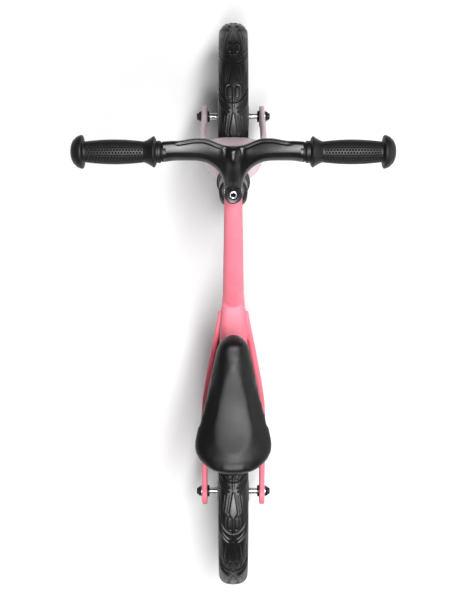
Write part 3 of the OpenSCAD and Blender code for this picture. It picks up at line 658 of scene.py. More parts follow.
def grip_profile():
    """Outline from the collar to the end cap as [radius, distance along], in millimetres: a
    straight collar with a bead, the flange, a flare, the barrel's bow and the mushroom's dome."""
    length = (grip_out - grip_in) / MM
    t = np.linspace(0, 1, 150)
    barrel = np.stack([12.1 + 2.2 * np.sin(np.pi * t)**0.9,
                       BARREL_FROM + (BARREL_TO - BARREL_FROM) * t], 1)
    t = np.linspace(0, 1, 12)[:-1]
    flare = np.stack([12.1 + 5.6 * (1 - t)**1.4, 12.2 + (BARREL_FROM - 12.2) * t], 1)
    collar = soften([[9.6, 0], [11.8, 0], [11.8, 1.6], [11.0, 2.0], [11.0, 2.6], [12.6, 3.2],
                     [12.9, 5.2], [12.6, 8.2], [15.2, 8.8], [17.6, 10.3], [18.2, 11.2],
                     [17.9, 11.9]],
                    0.7, closed=False)
    cap_from = length - 14.6
    under = soften([[12.3, BARREL_TO + 1.2], [13.2, cap_from - 0.6], [18.2, cap_from],
                    [19.2, cap_from + 0.6], [19.4, cap_from + 1.6]], 0.6, closed=False)
    turn = np.linspace(4, 90, 70) * np.pi / 180
    dome = np.stack([19.5 * np.cos(turn)**0.8, cap_from + 1 + 13.6 * np.sin(turn)**1.15], 1)
    dome[:, 0] -= 0.55 * sum(bell(dome[:, 0] - ring, 0.55) for ring in (15.6, 11.2, 7.0))
    dome[-1, 0] = 0
    bore = np.array([[0, length - 5.6], [9.6, length - 5.6]])
    return np.concatenate([collar, flare, barrel, under, dome, bore])


# %% Dimples
def dimple(around, along):
    """Depth of the nearest dimple, with distances in millimetres round and along the barrel:
    rows are staggered by half a pitch, and a dimple's depth is 1 - (distance / radius)^2."""
    row = np.round(around / DIMPLE_ROW)
    across = around - row * DIMPLE_ROW
    shift = along + (row % 2) * DIMPLE_PITCH / 2
    beside = (shift + DIMPLE_PITCH / 2) % DIMPLE_PITCH - DIMPLE_PITCH / 2
    share = np.clip(1 - (across**2 + beside**2) / DIMPLE_R**2, 0, 1)
    return DIMPLE_DEEP * share


def grip(name, side, node):
    """The profile turned round the bar in fine steps, with the dimples taken off its radius. The
    smooth band covers 30 degrees between the top and the front, and the dimples stop short of both
    ends of the barrel."""
    profile = grip_profile()
    sides = 8 * DIMPLE_ROWS
    angle = np.arange(sides) * 2 * np.pi / sides
    radius, along = profile[:, 0], profile[:, 1]
    on_barrel = (smooth_step(BARREL_FROM + 0.8, BARREL_FROM + 1.4, along)
                 * smooth_step(BARREL_TO - 0.8, BARREL_TO - 1.4, along))
    around = angle / (2 * np.pi) * DIMPLE_ROWS * DIMPLE_ROW
    front = np.abs((angle - np.radians(45) + np.pi) % (2 * np.pi) - np.pi)
    band = smooth_step(np.radians(15), np.radians(17), front)
    depth = dimple(around[None, :], along[:, None]) * on_barrel[:, None] * band[None, :]
    reach_out = (radius[:, None] - depth) * MM
    x = np.sin(angle)[None, :] * reach_out
    z = np.cos(angle)[None, :] * reach_out
    y = side * (grip_in + along[:, None] * MM) + np.zeros_like(x)
    points = np.stack([grip_axis[0] + x, y, grip_axis[2] + z], axis=-1)
    mesh = mesh_of(name, [shell(points, loop_rows=True)])
    raised = 1 - np.clip(depth, 0, DIMPLE_DEEP) / DIMPLE_DEEP
    store(mesh, "raised", raised)
    return piece(name, outward(mesh, merge=1e-7), "steering", "grip_rubber", [node], crease=38)


grip("grip_on_left", 1, "grip_left")
grip("grip_on_right", -1, "grip_right")

# %% [markdown]
# ## Handlebar
# The bar and its stem are one black moulding, T-shaped from above. Two curves bound it: a front
# edge right across, and a rear edge that turns down each side of the stem and round its end.
# Ribs join matching points of the two curves. Near each edge the surface rolls over by a quarter
# circle set square to that edge, so the edge is equally round everywhere. Low lips follow both
# edges, and a round spine runs back along the middle to the bolt.

# %% Edges of the bar
ARM_END = grip_in / MM
BAR_X = grip_axis[0] / MM
BAR_Z = grip_axis[2] / MM
ROLL = 6.5
SPINE_HALF = 8.5
SPINE_HIGH = 4.4
ROLL_STEPS = 25
TOP_STEPS = 24
FAR = 99.0


def bar_edges(count=150):
    """Front and rear edge of the left half, then mirrored: each is a smooth curve through
    stations of [x, y] in millimetres, matched so that the ribs between them never cross."""
    rear = through([
        [-10.3, ARM_END], [-9.0, ARM_END - 10], [-8.7, ARM_END - 19], [-8.6, ARM_END - 33],
        [-9.0, ARM_END - 41], [-10.6, ARM_END - 49], [-14.4, ARM_END - 57], [-19.6, ARM_END - 63.5],
        [-26, 13.2], [-32, 11.4], [-36.5, 10.4], [-38.6, 6.5], [-38.8, 0]], count)
    front = through([
        [11.9, ARM_END], [12.6, ARM_END - 10], [12.9, ARM_END - 19], [15.6, ARM_END - 33],
        [16.2, ARM_END - 41], [16.0, ARM_END - 49], [13.6, ARM_END - 57], [10.9, ARM_END - 64],
        [9.2, 11.4], [8.6, 7.6], [8.4, 4.4], [8.4, 2.1], [8.4, 0]], count)
    both = []
    for edge in (rear, front):
        right_half = edge[:-1][::-1] * [1, -1]
        both.append(np.concatenate([edge, right_half]) + [BAR_X, 0])
    return both


def square_to(edge, inside):
    """Unit vectors square to an edge in the level plane, turned to the side of inside."""
    along = np.gradient(edge, axis=0)
    normal = np.stack([-along[:, 1], along[:, 0]], 1)
    normal /= np.linalg.norm(normal, axis=1, keepdims=True)
    return normal * np.sign(((inside - edge) * normal).sum(1, keepdims=True))


# %% Height of the bar
def eased(value, places, levels, half=8):
    """Levels joined by straight lines, averaged over a window of half either side, without kinks."""
    window = np.linspace(-half, half, 9)
    return np.mean([np.interp(value + part, places, levels) for part in window], axis=0)


def bar_middle(x, y):
    """Height of the moulding's middle: level arms that sink towards the centre, then a slope down
    to the boss, turned in by the soft corner w ln(1 + exp(d/w))."""
    arms = eased(np.abs(y), [0, 20, 33, 48, 62, ARM_END], [-9.5, -7.2, -4.2, -1.8, -0.6, 0])
    ahead = (BAR_X - 5 - x) / 5
    drop = 1.22 * 5 * np.logaddexp(0, ahead)
    return BAR_Z + arms - drop


def bar_half_height(x, y):
    """Half thickness: the arms thin towards the middle, and the sloping stem is deeper."""
    arms = eased(np.abs(y), [0, 20, 33, 48, 62, ARM_END], [8.2, 8.4, 8.6, 9.0, 9.6, 10.4])
    return arms + 1.6 * smooth_step(BAR_X - 8, BAR_X - 26, x)


def lips(from_front, from_rear, x, y):
    """Relief on the top: lips along both edges, a groove behind the front lip that fades out near
    the grips, and a spine along the middle. The spine is highest where the stem turns down, and a
    shallow valley runs on either side of it."""
    inner = smooth_step(70, 60, np.abs(y))
    lip = 0.9 * bell(from_front - 2.6, 1.2) * inner + 0.8 * bell(from_rear - 2.4, 1.1)
    groove = 1.0 * bell(from_front - 5.4, 1.2) * inner + 0.35 * bell(from_rear - 5.0, 1.2)
    centre = smooth_step(14, 7, np.abs(y))
    lip, groove = lip * (1 - 0.8 * centre), groove * (1 - centre)
    ridge = np.cos(np.clip(y / SPINE_HALF, -1, 1) * np.pi / 2)**1.2
    spine = (SPINE_HIGH + 3.0 * bell(x - BAR_X + 12, 6)) * ridge
    spine = (spine - 1.1 * bell(np.abs(y) - 11, 3)) * smooth_step(BAR_X + 9, BAR_X - 1, x)
    return lip - groove + spine * smooth_step(BAR_X - 39, BAR_X - 31, x)


# %% Bar and boss
def bar_shell():
    """Closed loop of points on every rib: up the rear edge's roll, across the top, down the front
    edge's roll and back underneath, each roll being inset ROLL (1 - cos a) and height sin a."""
    rear, front = bar_edges()
    inward_rear, inward_front = square_to(rear, front), square_to(front, rear)
    up = np.linspace(-90, 90, ROLL_STEPS) * np.pi / 180
    inset = ROLL * (1 - np.cos(up))
    level = np.sin(up)
    across = np.linspace(0, 1, TOP_STEPS + 2)[1:-1]
    top_rear = rear + ROLL * inward_rear
    top_front = front + ROLL * inward_front
    span = (top_rear[:, None] + (top_front - top_rear)[:, None] * across[None, :, None])
    rear_roll = rear[:, None] + inset[None, :, None] * inward_rear[:, None]
    front_roll = front[:, None] + inset[None, :, None] * inward_front[:, None]
    plan = np.concatenate([rear_roll, span, front_roll[:, ::-1], span[:, ::-1]], axis=1)
    ones = np.ones(TOP_STEPS)
    share = np.concatenate([level, ones, level[::-1], -ones])
    width = np.linalg.norm(top_front - top_rear, axis=1)[:, None]
    far_roll = np.full(ROLL_STEPS, FAR)
    far_span = np.full(TOP_STEPS, FAR)
    near_rear = np.concatenate([inset, far_span, far_roll, far_span])
    near_front = np.concatenate([far_roll, far_span, inset[::-1], far_span])
    top_span = slice(ROLL_STEPS, ROLL_STEPS + TOP_STEPS)
    rear_gap = np.broadcast_to(near_rear, plan.shape[:2]).copy()
    front_gap = np.broadcast_to(near_front, plan.shape[:2]).copy()
    rear_gap[:, top_span] = ROLL + width * across[None, :]
    front_gap[:, top_span] = ROLL + width * (1 - across[None, :])
    x, y = plan[:, :, 0], plan[:, :, 1]
    crown = np.sign(share) * np.abs(share)**0.8
    top = np.clip(share, 0, 1)[None, :]
    height = (bar_middle(x, y) + crown[None, :] * bar_half_height(x, y)
              + top * lips(front_gap, rear_gap, x, y))
    return shell(np.stack([x, y, height], -1) * MM, capped=True)


def boss_shells():
    """Turned boss with a recess for the bolt's head, and the quill below it in the steerer."""
    low, high = cover_high / MM + 1, cover_high / MM + 15
    recess = bolt_r / MM + 0.5
    outline = soften([[3.3, low], [9.6, low], [10.8, low + 1.2], [10.8, high - 0.4],
                      [9.6, high + 0.6], [7.6, high], [recess, high - 0.2],
                      [recess, high - 6.4], [3.3, high - 6.4]], 0.7)
    quill = soften([[3.3, low - 50], [9.3, low - 50], [9.3, low + 1], [3.3, low + 1]], 0.6)
    return [turned(part * MM, steer_foot, steer_axis) for part in (outline, quill)]


def stub_shells():
    """Round ends of the bar inside the grips."""
    tip = (grip_out - 6 * MM) / MM
    outline = np.array([[0, ARM_END - 3], [9.4, ARM_END - 3], [9.4, tip - 1], [8.4, tip], [0, tip]])
    return [turned(outline * [1, side] * MM, grip_axis, LEFT, closed=False) for side in (1, -1)]


piece("handlebar_moulding", outward(mesh_of("handlebar_moulding", [bar_shell(), *boss_shells(),
      *stub_shells()])), "steering", "black_plastic", ["handlebar"], crease=50)

# %% [markdown]
# ## Moulded bodies that flow together
# The frame is one hollow moulding in which beam, body, yoke and stays run into each other with
# soft fillets. Each of them is easy as a section carried along a path, but their meeting lines
# are not. So the shells are only overlapped, then fused by a voxel remesh, which wraps one skin
# round them all, and a few rounds of smoothing turn every inner corner into a fillet. Holes that
# hold a shaft are bored afterwards with exact cylinders, so that they stay round and true.


# %% Sections carried along a path
SECTION = np.arange(64) * 2 * np.pi / 64


def upright_sections(stations, count):
    """Rings across X from stations of [x, y, z, half width, half height, squareness]."""
    s = through(stations, count)
    width, height = oval(s[:, 3:4], s[:, 4:5], s[:, 5:6], SECTION[None, :])
    x = np.broadcast_to(s[:, 0:1], width.shape)
    return np.stack([x, s[:, 1:2] + width, s[:, 2:3] + height], -1) * MM


def level_sections(stations, count):
    """Rings square to the steering axis from stations of [along, ahead, left, half depth,
    half width, squareness]."""
    s = through(stations, count)
    depth, width = oval(s[:, 3:4], s[:, 4:5], s[:, 5:6], SECTION[None, :])
    along = np.broadcast_to(s[:, 0:1], depth.shape)
    return steering_place((s[:, 1:2] + depth) * MM, (s[:, 2:3] + width) * MM, along * MM)


def mirrored(points):
    """The same shell on the other side of the middle plane."""
    return points * [1, -1, 1]


def disc(centre, low, high, radius):
    """Solid disc across the bike between two distances to the left, with softened edges."""
    outline = soften([[0, low], [radius, low], [radius, high], [0, high]], 1.4 * MM, closed=False)
    return turned(outline, centre, LEFT, closed=False)


def rod(origin, axis, low, high, radius, sides=96):
    """Plain round bar between two distances along an axis, for fusing or boring."""
    outline = [[0, low], [radius, low], [radius, high], [0, high]]
    return turned(outline, origin, axis, sides, closed=False)


def block(origin, axes, low, high):
    """Box between two corners measured along three axes."""
    x, y = np.array([[0, 1, 1, 0], [0, 0, 1, 1]])
    rings = [np.stack([np.where(x, high[0], low[0]), np.where(y, high[1], low[1]), np.full(4, z)], 1)
             for z in (low[2], high[2])]
    return shell(origin + np.array(rings) @ np.array(axes), capped=True)


# %% Fuse, smooth and bore
def result_of(made):
    """The object's mesh with its modifiers worked in. The object itself is removed."""
    bpy.context.view_layer.update()
    shown = made.evaluated_get(bpy.context.evaluated_depsgraph_get())
    mesh = bpy.data.meshes.new_from_object(shown)
    bpy.data.objects.remove(made)
    return mesh


def placed(mesh):
    """A working object in the scene that holds the mesh for a while."""
    made = bpy.data.objects.new(mesh.name, mesh)
    bpy.context.scene.collection.objects.link(made)
    return made


def bored(mesh, cutters, operation="DIFFERENCE"):
    """The mesh with each cutter taken away from it, or joined to it, by an exact boolean."""
    made = placed(mesh)
    tools = [placed(outward(mesh_of("cutter", [cutter]))) for cutter in cutters]
    for tool in tools:
        bore = made.modifiers.new("bore", "BOOLEAN")
        bore.operation = operation
        bore.solver = "MANIFOLD"
        bore.object = tool
    result = result_of(made)
    for tool in tools:
        bpy.data.objects.remove(tool)
    return result


def one_skin(mesh, voxel, rounds):
    """The mesh wrapped in one even skin by voxel remesh, then smoothed for some rounds."""
    made = placed(mesh)
    remesh = made.modifiers.new("one_skin", "REMESH")
    remesh.mode = "VOXEL"
    remesh.voxel_size = voxel
    smooth = made.modifiers.new("fillets", "SMOOTH")
    smooth.factor = 0.5
    smooth.iterations = rounds
    return result_of(made)


def fused(name, shells, cutters, voxel=1.25 * MM, rounds=5):
    """One skin round all the shells, smoothed so that inner corners fill, and then bored."""
    return bored(one_skin(outward(mesh_of(name, shells)), voxel, rounds), cutters)


# %% [markdown]
# ## Frame
# The beam bows from the head tube down into a boxy body. The yoke spreads low over the rear tyre
# to the two flat stays, which end in round dropouts. The seat tower stands in the body and is
# split at the back so that its clamp can close on the post.

# %% Frame stations
base_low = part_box("saddle_base")[0].z
TOWER_X = rear_hub[0] / MM + 194
TOWER_Z = tyre_r / MM + 76
BODY_X = TOWER_X + 119
BODY_Z = TOWER_Z + 80
LEG_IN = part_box("front_inner_washers")[1].y / MM
LEG_T = 8.0
LEG_MID = LEG_IN + LEG_T / 2
HEAD_TOP = upper_bush_high / MM - 1.5
HEAD_LOW = lower_bush_low / MM + 1.5
tower_origin = np.array([TOWER_X, 0, TOWER_Z]) * MM
TOWER_L = reach("seat_clamp", post_axis, tower_origin)[1] / MM
post_r = 12.7 * MM
POST_GAP = 0.05 * MM
TOWER_R = 17 * MM
SPLIT_HALF = 1.3 * MM
SPLIT_L = 26
BEAM_BOW = 13.0
HEAD_R = 14 * MM
BUSH_SEAT_R = 12.8 * MM
COVER_ROOM_R = 18.2 * MM
DROPOUT_R = 16 * MM
AXLE_HOLE_R = 4.02 * MM
print("head tube", round(HEAD_LOW, 1), "to", round(HEAD_TOP, 1), "tower", round(TOWER_L, 1), "mm")


def beam_sections(count=110):
    """Rings square to the beam's bowed path p(t) = start + run t + 4 bow rise t (1-t)."""
    start = (steer_foot + steer_axis * (HEAD_LOW + (HEAD_TOP - HEAD_LOW) * 0.6) * MM)[[0, 2]] / MM
    end = np.array([BODY_X - 38, BODY_Z - 42])
    run = end - start
    rise = np.array([run[1], -run[0]]) / np.linalg.norm(run)
    t = np.linspace(0, 1, count)[:, None]
    path = start + run * t + rise * 4 * BEAM_BOW * t * (1 - t)
    along = run + rise * 4 * BEAM_BOW * (1 - 2 * t)
    along /= np.linalg.norm(along, axis=1, keepdims=True)
    wide, high = oval(11 + 4.4 * t, 14.5 + 3 * t, 2.3, SECTION[None, :])
    up = np.stack([along[:, 1], -along[:, 0]], 1)
    return np.stack([path[:, 0:1] + up[:, 0:1] * high, wide, path[:, 1:2] + up[:, 1:2] * high],
                    -1) * MM


def body_sections():
    """Boxy shell from the beam's foot back round the tower, by distance behind its front."""
    s = np.array([[0, -4, 13.4, 14, 3], [14, -1.5, 14.8, 27, 4], [42, -1, 17, 48, 4.5],
                  [64, 1, 18.6, 58, 4.5], [104, 8, 19, 60, 4], [136, 9, 18.6, 58, 3],
                  [152, 5, 14, 50, 2.4], [159, 0, 8, 40, 2.2]])
    stations = np.stack([BODY_X - s[:, 0], 0 * s[:, 0], BODY_Z + s[:, 1] - s[:, 3] / 2, s[:, 2],
                         s[:, 3] / 2, s[:, 4]], 1)
    return upright_sections(stations, 110)


def yoke_sections():
    """Low bridge across both stays, ahead of the rear tyre."""
    s = np.array([[16, -38, 12, 8], [36, -44, 18, 13], [62, -52, 25.5, 14], [95, -64, 30.5, 15],
                  [124, -76, 34.5, 14], [136, -81, 35, 9]])
    stations = np.stack([BODY_X - s[:, 0], 0 * s[:, 0], BODY_Z + s[:, 1], s[:, 2], s[:, 3],
                         4 + 0 * s[:, 0]], 1)
    return upright_sections(stations, 80)


def stay_sections():
    """Flat arm from the body's flank to the rear hub."""
    start, rear, level = BODY_X - 36, rear_hub[0] / MM, tyre_r / MM
    run, drop, thick = start - rear, BODY_Z - 22 - tyre_r / MM, LEG_T / 2
    stations = [
        [start, 16.6, BODY_Z - 22, thick, 7, 5], [start - 22, 20.6, BODY_Z - 33, thick, 15, 5],
        [start - 72, 31, BODY_Z - 60, thick, 17, 5],
        [start - 130, LEG_MID - 2.4, level + drop * 0.5, thick, 16.5, 5],
        [rear + run * 0.33, LEG_MID, level + drop * 0.29, thick, 15.5, 5],
        [rear + run * 0.15, LEG_MID, level + drop * 0.11, thick, 15.3, 5],
        [rear, LEG_MID, level, thick, 15.3, 5]]
    return upright_sections(stations, 130)


# %% Frame moulding
def axle_hole(hub):
    """Bar that bores both dropouts for the axle."""
    half = (LEG_IN + LEG_T + 7) * MM
    return rod(hub, LEFT, -half, half, AXLE_HOLE_R)


def frame_moulding():
    """All the frame's shells fused, with the head bore, post bore, split and axle holes."""
    stay = stay_sections()
    dropout = rear_hub - np.array([4 * MM, 0, 0])
    shells = [shell(part, capped=True) for part in
              (beam_sections(), body_sections(), yoke_sections(), stay, mirrored(stay))]
    shells += [disc(dropout, side * LEG_IN * MM, side * (LEG_IN + LEG_T) * MM, DROPOUT_R)
               for side in (1, -1)]
    stop_lug = block(steer_foot, STEERING, (-20 * MM, -3 * MM, (HEAD_LOW - 7) * MM),
                     (-17.4 * MM, 3 * MM, (HEAD_LOW + 9) * MM))
    shells += [rod(steer_foot, steer_axis, HEAD_LOW * MM, HEAD_TOP * MM, HEAD_R),
               rod(tower_origin, post_axis, 0, TOWER_L * MM, TOWER_R), stop_lug]
    cutters = [
        rod(steer_foot, steer_axis, (HEAD_LOW - 1) * MM, (HEAD_TOP + 1) * MM, BUSH_SEAT_R),
        rod(steer_foot, steer_axis, HEAD_TOP * MM, (HEAD_TOP + 20) * MM, COVER_ROOM_R),
        rod(tower_origin, post_axis, -40 * MM, (TOWER_L + 1) * MM, post_r + POST_GAP),
        block(tower_origin, POST, (-34 * MM, -SPLIT_HALF, (TOWER_L - SPLIT_L) * MM),
              (0, SPLIT_HALF, (TOWER_L + 1) * MM)),
        axle_hole(rear_hub)]
    return fused("frame_moulding", shells, cutters, rounds=4)


piece("frame_moulding", frame_moulding(), "frame", "frame_pink", ["frame"], crease=48)

# %% [markdown]
# ## Fork
# The fork's neck flares into a broad crown that arches over the front tyre, and two flat legs run
# forward and down to the hub. It is fused in the same way, then bored for the steerer and axle.

# %% Fork moulding
CROWN_LOW = tyre_r / MM + 9
CROWN_HIGH = 78
NECK_LOW = CROWN_LOW + CROWN_HIGH
NECK_TOP = shield_low / MM


def crown_sections():
    """Neck and crown from the top down, in the steering axis's own frame."""
    stations = [
        [NECK_TOP, 0, 0, 16.5, 16.5, 2], [(NECK_LOW + NECK_TOP) / 2, 0, 0, 16.5, 16.5, 2],
        [NECK_LOW, 0, 0, 17.5, 18.1, 2], [CROWN_LOW + CROWN_HIGH * 0.82, 0, 0, 18.5, 22, 2.1],
        [CROWN_LOW + CROWN_HIGH * 0.64, 1, 0, 21.5, 29.5, 2.5],
        [CROWN_LOW + CROWN_HIGH * 0.42, 3, 0, 24, 35, 2.9],
        [CROWN_LOW + CROWN_HIGH * 0.2, 4.5, 0, 25, 38.8, 3.1], [CROWN_LOW, 5.5, 0, 25, 41.6, 3.2]]
    return level_sections(stations, 110)


def leg_sections():
    """Left leg from the crown down to the hub."""
    offset, thick = fork_offset / MM, LEG_T / 2
    stations = [
        [CROWN_LOW + 34, offset - 23, LEG_MID - 14, 13, 6, 4],
        [CROWN_LOW + 15, offset - 19.5, LEG_MID - 6.5, 14.4, 5.6, 4],
        [CROWN_LOW - 5, offset - 15.5, LEG_MID - 1.6, 15.2, thick + 0.6, 4],
        [CROWN_LOW - 38, offset - 11, LEG_MID, 15.2, thick, 4],
        [76, offset - 6.5, LEG_MID, 15.4, thick, 4], [36, offset - 1.5, LEG_MID, 14.6, thick, 4],
        [0, offset, LEG_MID, 15.3, thick, 4]]
    return level_sections(stations, 120)


def fork_moulding():
    """Crown, legs and dropouts fused, with the steerer's seat and the axle hole."""
    leg = leg_sections()
    shells = [shell(part, capped=True) for part in (crown_sections(), leg, mirrored(leg))]
    shells += [disc(front_hub, side * LEG_IN * MM, side * (LEG_IN + LEG_T) * MM, DROPOUT_R)
               for side in (1, -1)]
    cutters = [rod(steer_foot, steer_axis, (CROWN_LOW + 40) * MM, shield_low + 20 * MM, steerer_r),
               axle_hole(front_hub)]
    return fused("fork_moulding", shells, cutters, voxel=1.2 * MM, rounds=5)


piece("fork_moulding", fork_moulding(), "steering", "fork_pale_pink", ["fork"], crease=48)

# %% [markdown]
# ## Wheels
# Each wheel is a single nylon moulding: a deep rim hoop that carries the tyre, five spokes with a
# shallow channel down each face, and a hub barrel with a bearing pressed into each end. The
# spokes flare where they meet the hoop and hub, which the fused skin rounds off.

# %% Wheel moulding
SPOKES = 5
HUB_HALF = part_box("front_wheel")[1].y / MM
HUB_BORE_R = 6.8 * MM
BEARING_R = 11 * MM
BEARING_DEEP = 7.6


def spoke_sections(turn, count=60):
    """One spoke: a rounded bar out along its radius, wider at both ends."""
    stations = through([[10, 12, 9], [22, 10.4, 7], [34, 7.8, 6], [60, 7.2, 5.6],
                        [80, 8.2, 5.8], [92, 12.5, 6.2], [98, 16, 6.6]], count)
    wide, thick = oval(stations[:, 1:2], stations[:, 2:3], 5, SECTION[None, :])
    channel = 1.5 * smooth_step(4.6, 3.2, np.abs(wide)) * smooth_step(30, 36, stations[:, 0:1])
    channel = channel * smooth_step(84, 78, stations[:, 0:1])
    thick = thick - channel * np.sign(thick)
    out = np.array([np.cos(turn), 0, -np.sin(turn)])
    beside = np.array([np.sin(turn), 0, np.cos(turn)])
    return (np.multiply.outer(np.broadcast_to(stations[:, 0:1], wide.shape), out)
            + np.multiply.outer(wide, beside) + np.multiply.outer(thick, LEFT)) * MM


def wheel_moulding(name, hub):
    """Hoop, spokes and barrel fused; the hoop's seat, the bearing seats and the bore are cut."""
    rim, seat_half = rim_r / MM, SEAT_HALF / MM
    hoop = soften([[rim - 12, -7], [rim - 7, -seat_half - 2], [rim, -seat_half - 2],
                   [rim, seat_half + 2], [rim - 7, seat_half + 2], [rim - 12, 7]], 1.5)
    barrel = soften([[0, -HUB_HALF], [16.6, -HUB_HALF], [18, -HUB_HALF + 1.6], [18, HUB_HALF - 1.6],
                     [16.6, HUB_HALF], [0, HUB_HALF]], 1, closed=False)
    shells = [turned(hoop * MM, hub, LEFT, 240),
              turned(barrel * MM, hub, LEFT, closed=False)]
    shells += [shell(hub + spoke_sections(2 * np.pi * k / SPOKES), capped=True)
               for k in range(SPOKES)]
    past_hub = 60 * MM
    seat_from = (HUB_HALF - BEARING_DEEP) * MM
    cutters = [rod(hub, LEFT, -past_hub, past_hub, HUB_BORE_R),
               rod(hub, LEFT, seat_from, past_hub, BEARING_R),
               rod(hub, LEFT, -past_hub, -seat_from, BEARING_R)]
    return fused(name, shells, cutters, voxel=1.3 * MM, rounds=4)


piece("wheel_at_front", wheel_moulding("wheel_at_front", front_hub), "front_wheel",
      "wheel_plastic", ["front_wheel"], crease=48)
piece("wheel_at_rear", wheel_moulding("wheel_at_rear", rear_hub), "rear_wheel",
      "wheel_plastic", ["rear_wheel"], crease=48)

# %% [markdown]
# ## Saddle
# The saddle is a foam pad under a stretched cover, glued and tucked round a stiff plastic pan. The
# cover is tight over the foam, so it has no folds: only a soft crown, a rounded tail and a slim
# nose with a small bump behind its tip. Here the pad starts two millimetres small, is meshed evenly
# and blown up as cloth, so that the cover finds its own tension, as a real one does. Its flat
# underside is pressed back onto the pan at the end.

# %% Pad shape
saddle_low, saddle_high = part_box("saddle_cover")
NOSE_X = saddle_high.x / MM
SADDLE_L = (saddle_high.x - saddle_low.x) / MM
SADDLE_HALF = saddle_high.y / MM
PAN_TOP = saddle_low.z / MM


def pad_half_width(t):
    """Half width against the share of the length from nose to tail: (1 - u^1.12) widening from
    the nose, then a superelliptic tail."""
    widening = 1 - 0.68 * np.clip(1 - t / 0.77, 0, 1)**1.12
    nose = np.sqrt(np.clip(1 - np.clip(1 - t / 0.1, 0, 1)**2, 0, 1))
    tail = np.clip(1 - np.clip((t - 0.77) / 0.23, 0, 1)**2.1, 0, 1)**0.48
    return SADDLE_HALF * widening * nose * tail


def pad_surface(inset=0.0, rows=150, columns=144):
    """Closed shell of rings from nose to tail, drawn in by inset on every side. Steps are closer
    at both ends, and each ring is a superellipse that is flat where it rests on the pan."""
    t = ((1 - np.cos(np.linspace(0, 1, rows) * np.pi)) / 2)[:, None]
    angle = (np.arange(columns) * 2 * np.pi / columns)[None, :]
    top = 27 + 5 * np.cos(2 * np.pi * (t - 0.1)) + 9 * t**3
    edge = np.minimum(1, 12 * np.minimum(t, 1 - t))
    rise = top * np.sqrt(edge * (2 - edge))
    across, up = oval(pad_half_width(t), 1.0, 2.5, angle)
    height = 0.25 * top + 0.8 * np.where(up < 0, 0.25, 1) * up * rise
    x = NOSE_X - inset - (SADDLE_L - 2 * inset) * t + 0 * across
    across = across * (SADDLE_HALF - inset) / SADDLE_HALF
    height = np.maximum(height * (1 - inset / 36), 0)
    return np.stack([x, across, PAN_TOP + height], -1) * MM


# %% Blow up the cover
CLOTH_STEPS = 20


def cover_mesh(mesh_start, cap=3.2 * MM):
    """Voxel remesh, twenty steps of cloth under pressure with no gravity, and every point's way
    limited to the cap. Two subdivisions then give it a smooth outline."""
    scene = bpy.context.scene
    even = one_skin(mesh_start, 4 * MM, 9)
    pad = placed(even)
    before = points_of(even)
    cloth = pad.modifiers.new("cover", "CLOTH")
    cloth.settings.use_pressure = True
    cloth.settings.uniform_pressure_force = 4.0
    cloth.settings.effector_weights.gravity = 0.0
    cloth.settings.tension_stiffness = 40
    cloth.settings.compression_stiffness = 40
    cloth.settings.bending_stiffness = 4
    cloth.point_cache.frame_start = 1
    cloth.point_cache.frame_end = CLOTH_STEPS
    for step in range(1, CLOTH_STEPS + 1):
        scene.frame_set(step)
    blown = pad.evaluated_get(bpy.context.evaluated_depsgraph_get()).to_mesh()
    way = points_of(blown) - before
    length = np.linalg.norm(way, axis=1, keepdims=True)
    print("cover moved", round(float(length.mean()) / MM, 2), "mm on average before the limit")
    pad.modifiers.clear()
    move(even, before + way * np.minimum(1, cap / np.maximum(length, 1e-9)))
    scene.frame_set(1)
    finer = pad.modifiers.new("finer", "SUBSURF")
    finer.levels = finer.render_levels = 2
    return result_of(pad)


def press_and_dip(mesh):
    """Fills the space kept for the pad, presses the underside flat on the pan, and raises the
    nose's bump and the tail's lip: each is a height times exp(-(distance/width)^2)."""
    x, y, z = points_of(mesh).T / MM
    x = NOSE_X - (x.max() - x) / (x.max() - x.min()) * SADDLE_L
    y = y / np.abs(y).max() * SADDLE_HALF
    z = PAN_TOP + (z - z.min()) / (z.max() - z.min()) * (saddle_high.z / MM - PAN_TOP)
    behind = NOSE_X - x
    high = smooth_step(PAN_TOP + 10, PAN_TOP + 22, z)
    z = z + high * (2.1 * bell(behind - 15, 8) - 0.5 * bell(behind - 30, 5))
    z = z + high * (0.6 * bell(behind - SADDLE_L + 6, 3) - 0.9 * bell(behind - SADDLE_L + 14, 5))
    z = np.clip(z, PAN_TOP, saddle_high.z / MM)
    move(mesh, np.stack([x, y, z], -1) * MM)
    mesh.update()
    return mesh


cover = cover_mesh(outward(mesh_of("saddle_start", [shell(pad_surface(inset=2.0))])))
cover.name = "saddle_pad"
saddle_pad = piece("saddle_pad", press_and_dip(cover), "seat", "saddle_leather", ["saddle_cover"],
                   crease=0)

# %% [markdown]
# The pan under the pad is a thin moulding that follows the pad's outline a little inside it. Its
# rim is rounded where hands reach under the saddle, a step runs round its underside, and four
# screws come up into it from the post's plate.


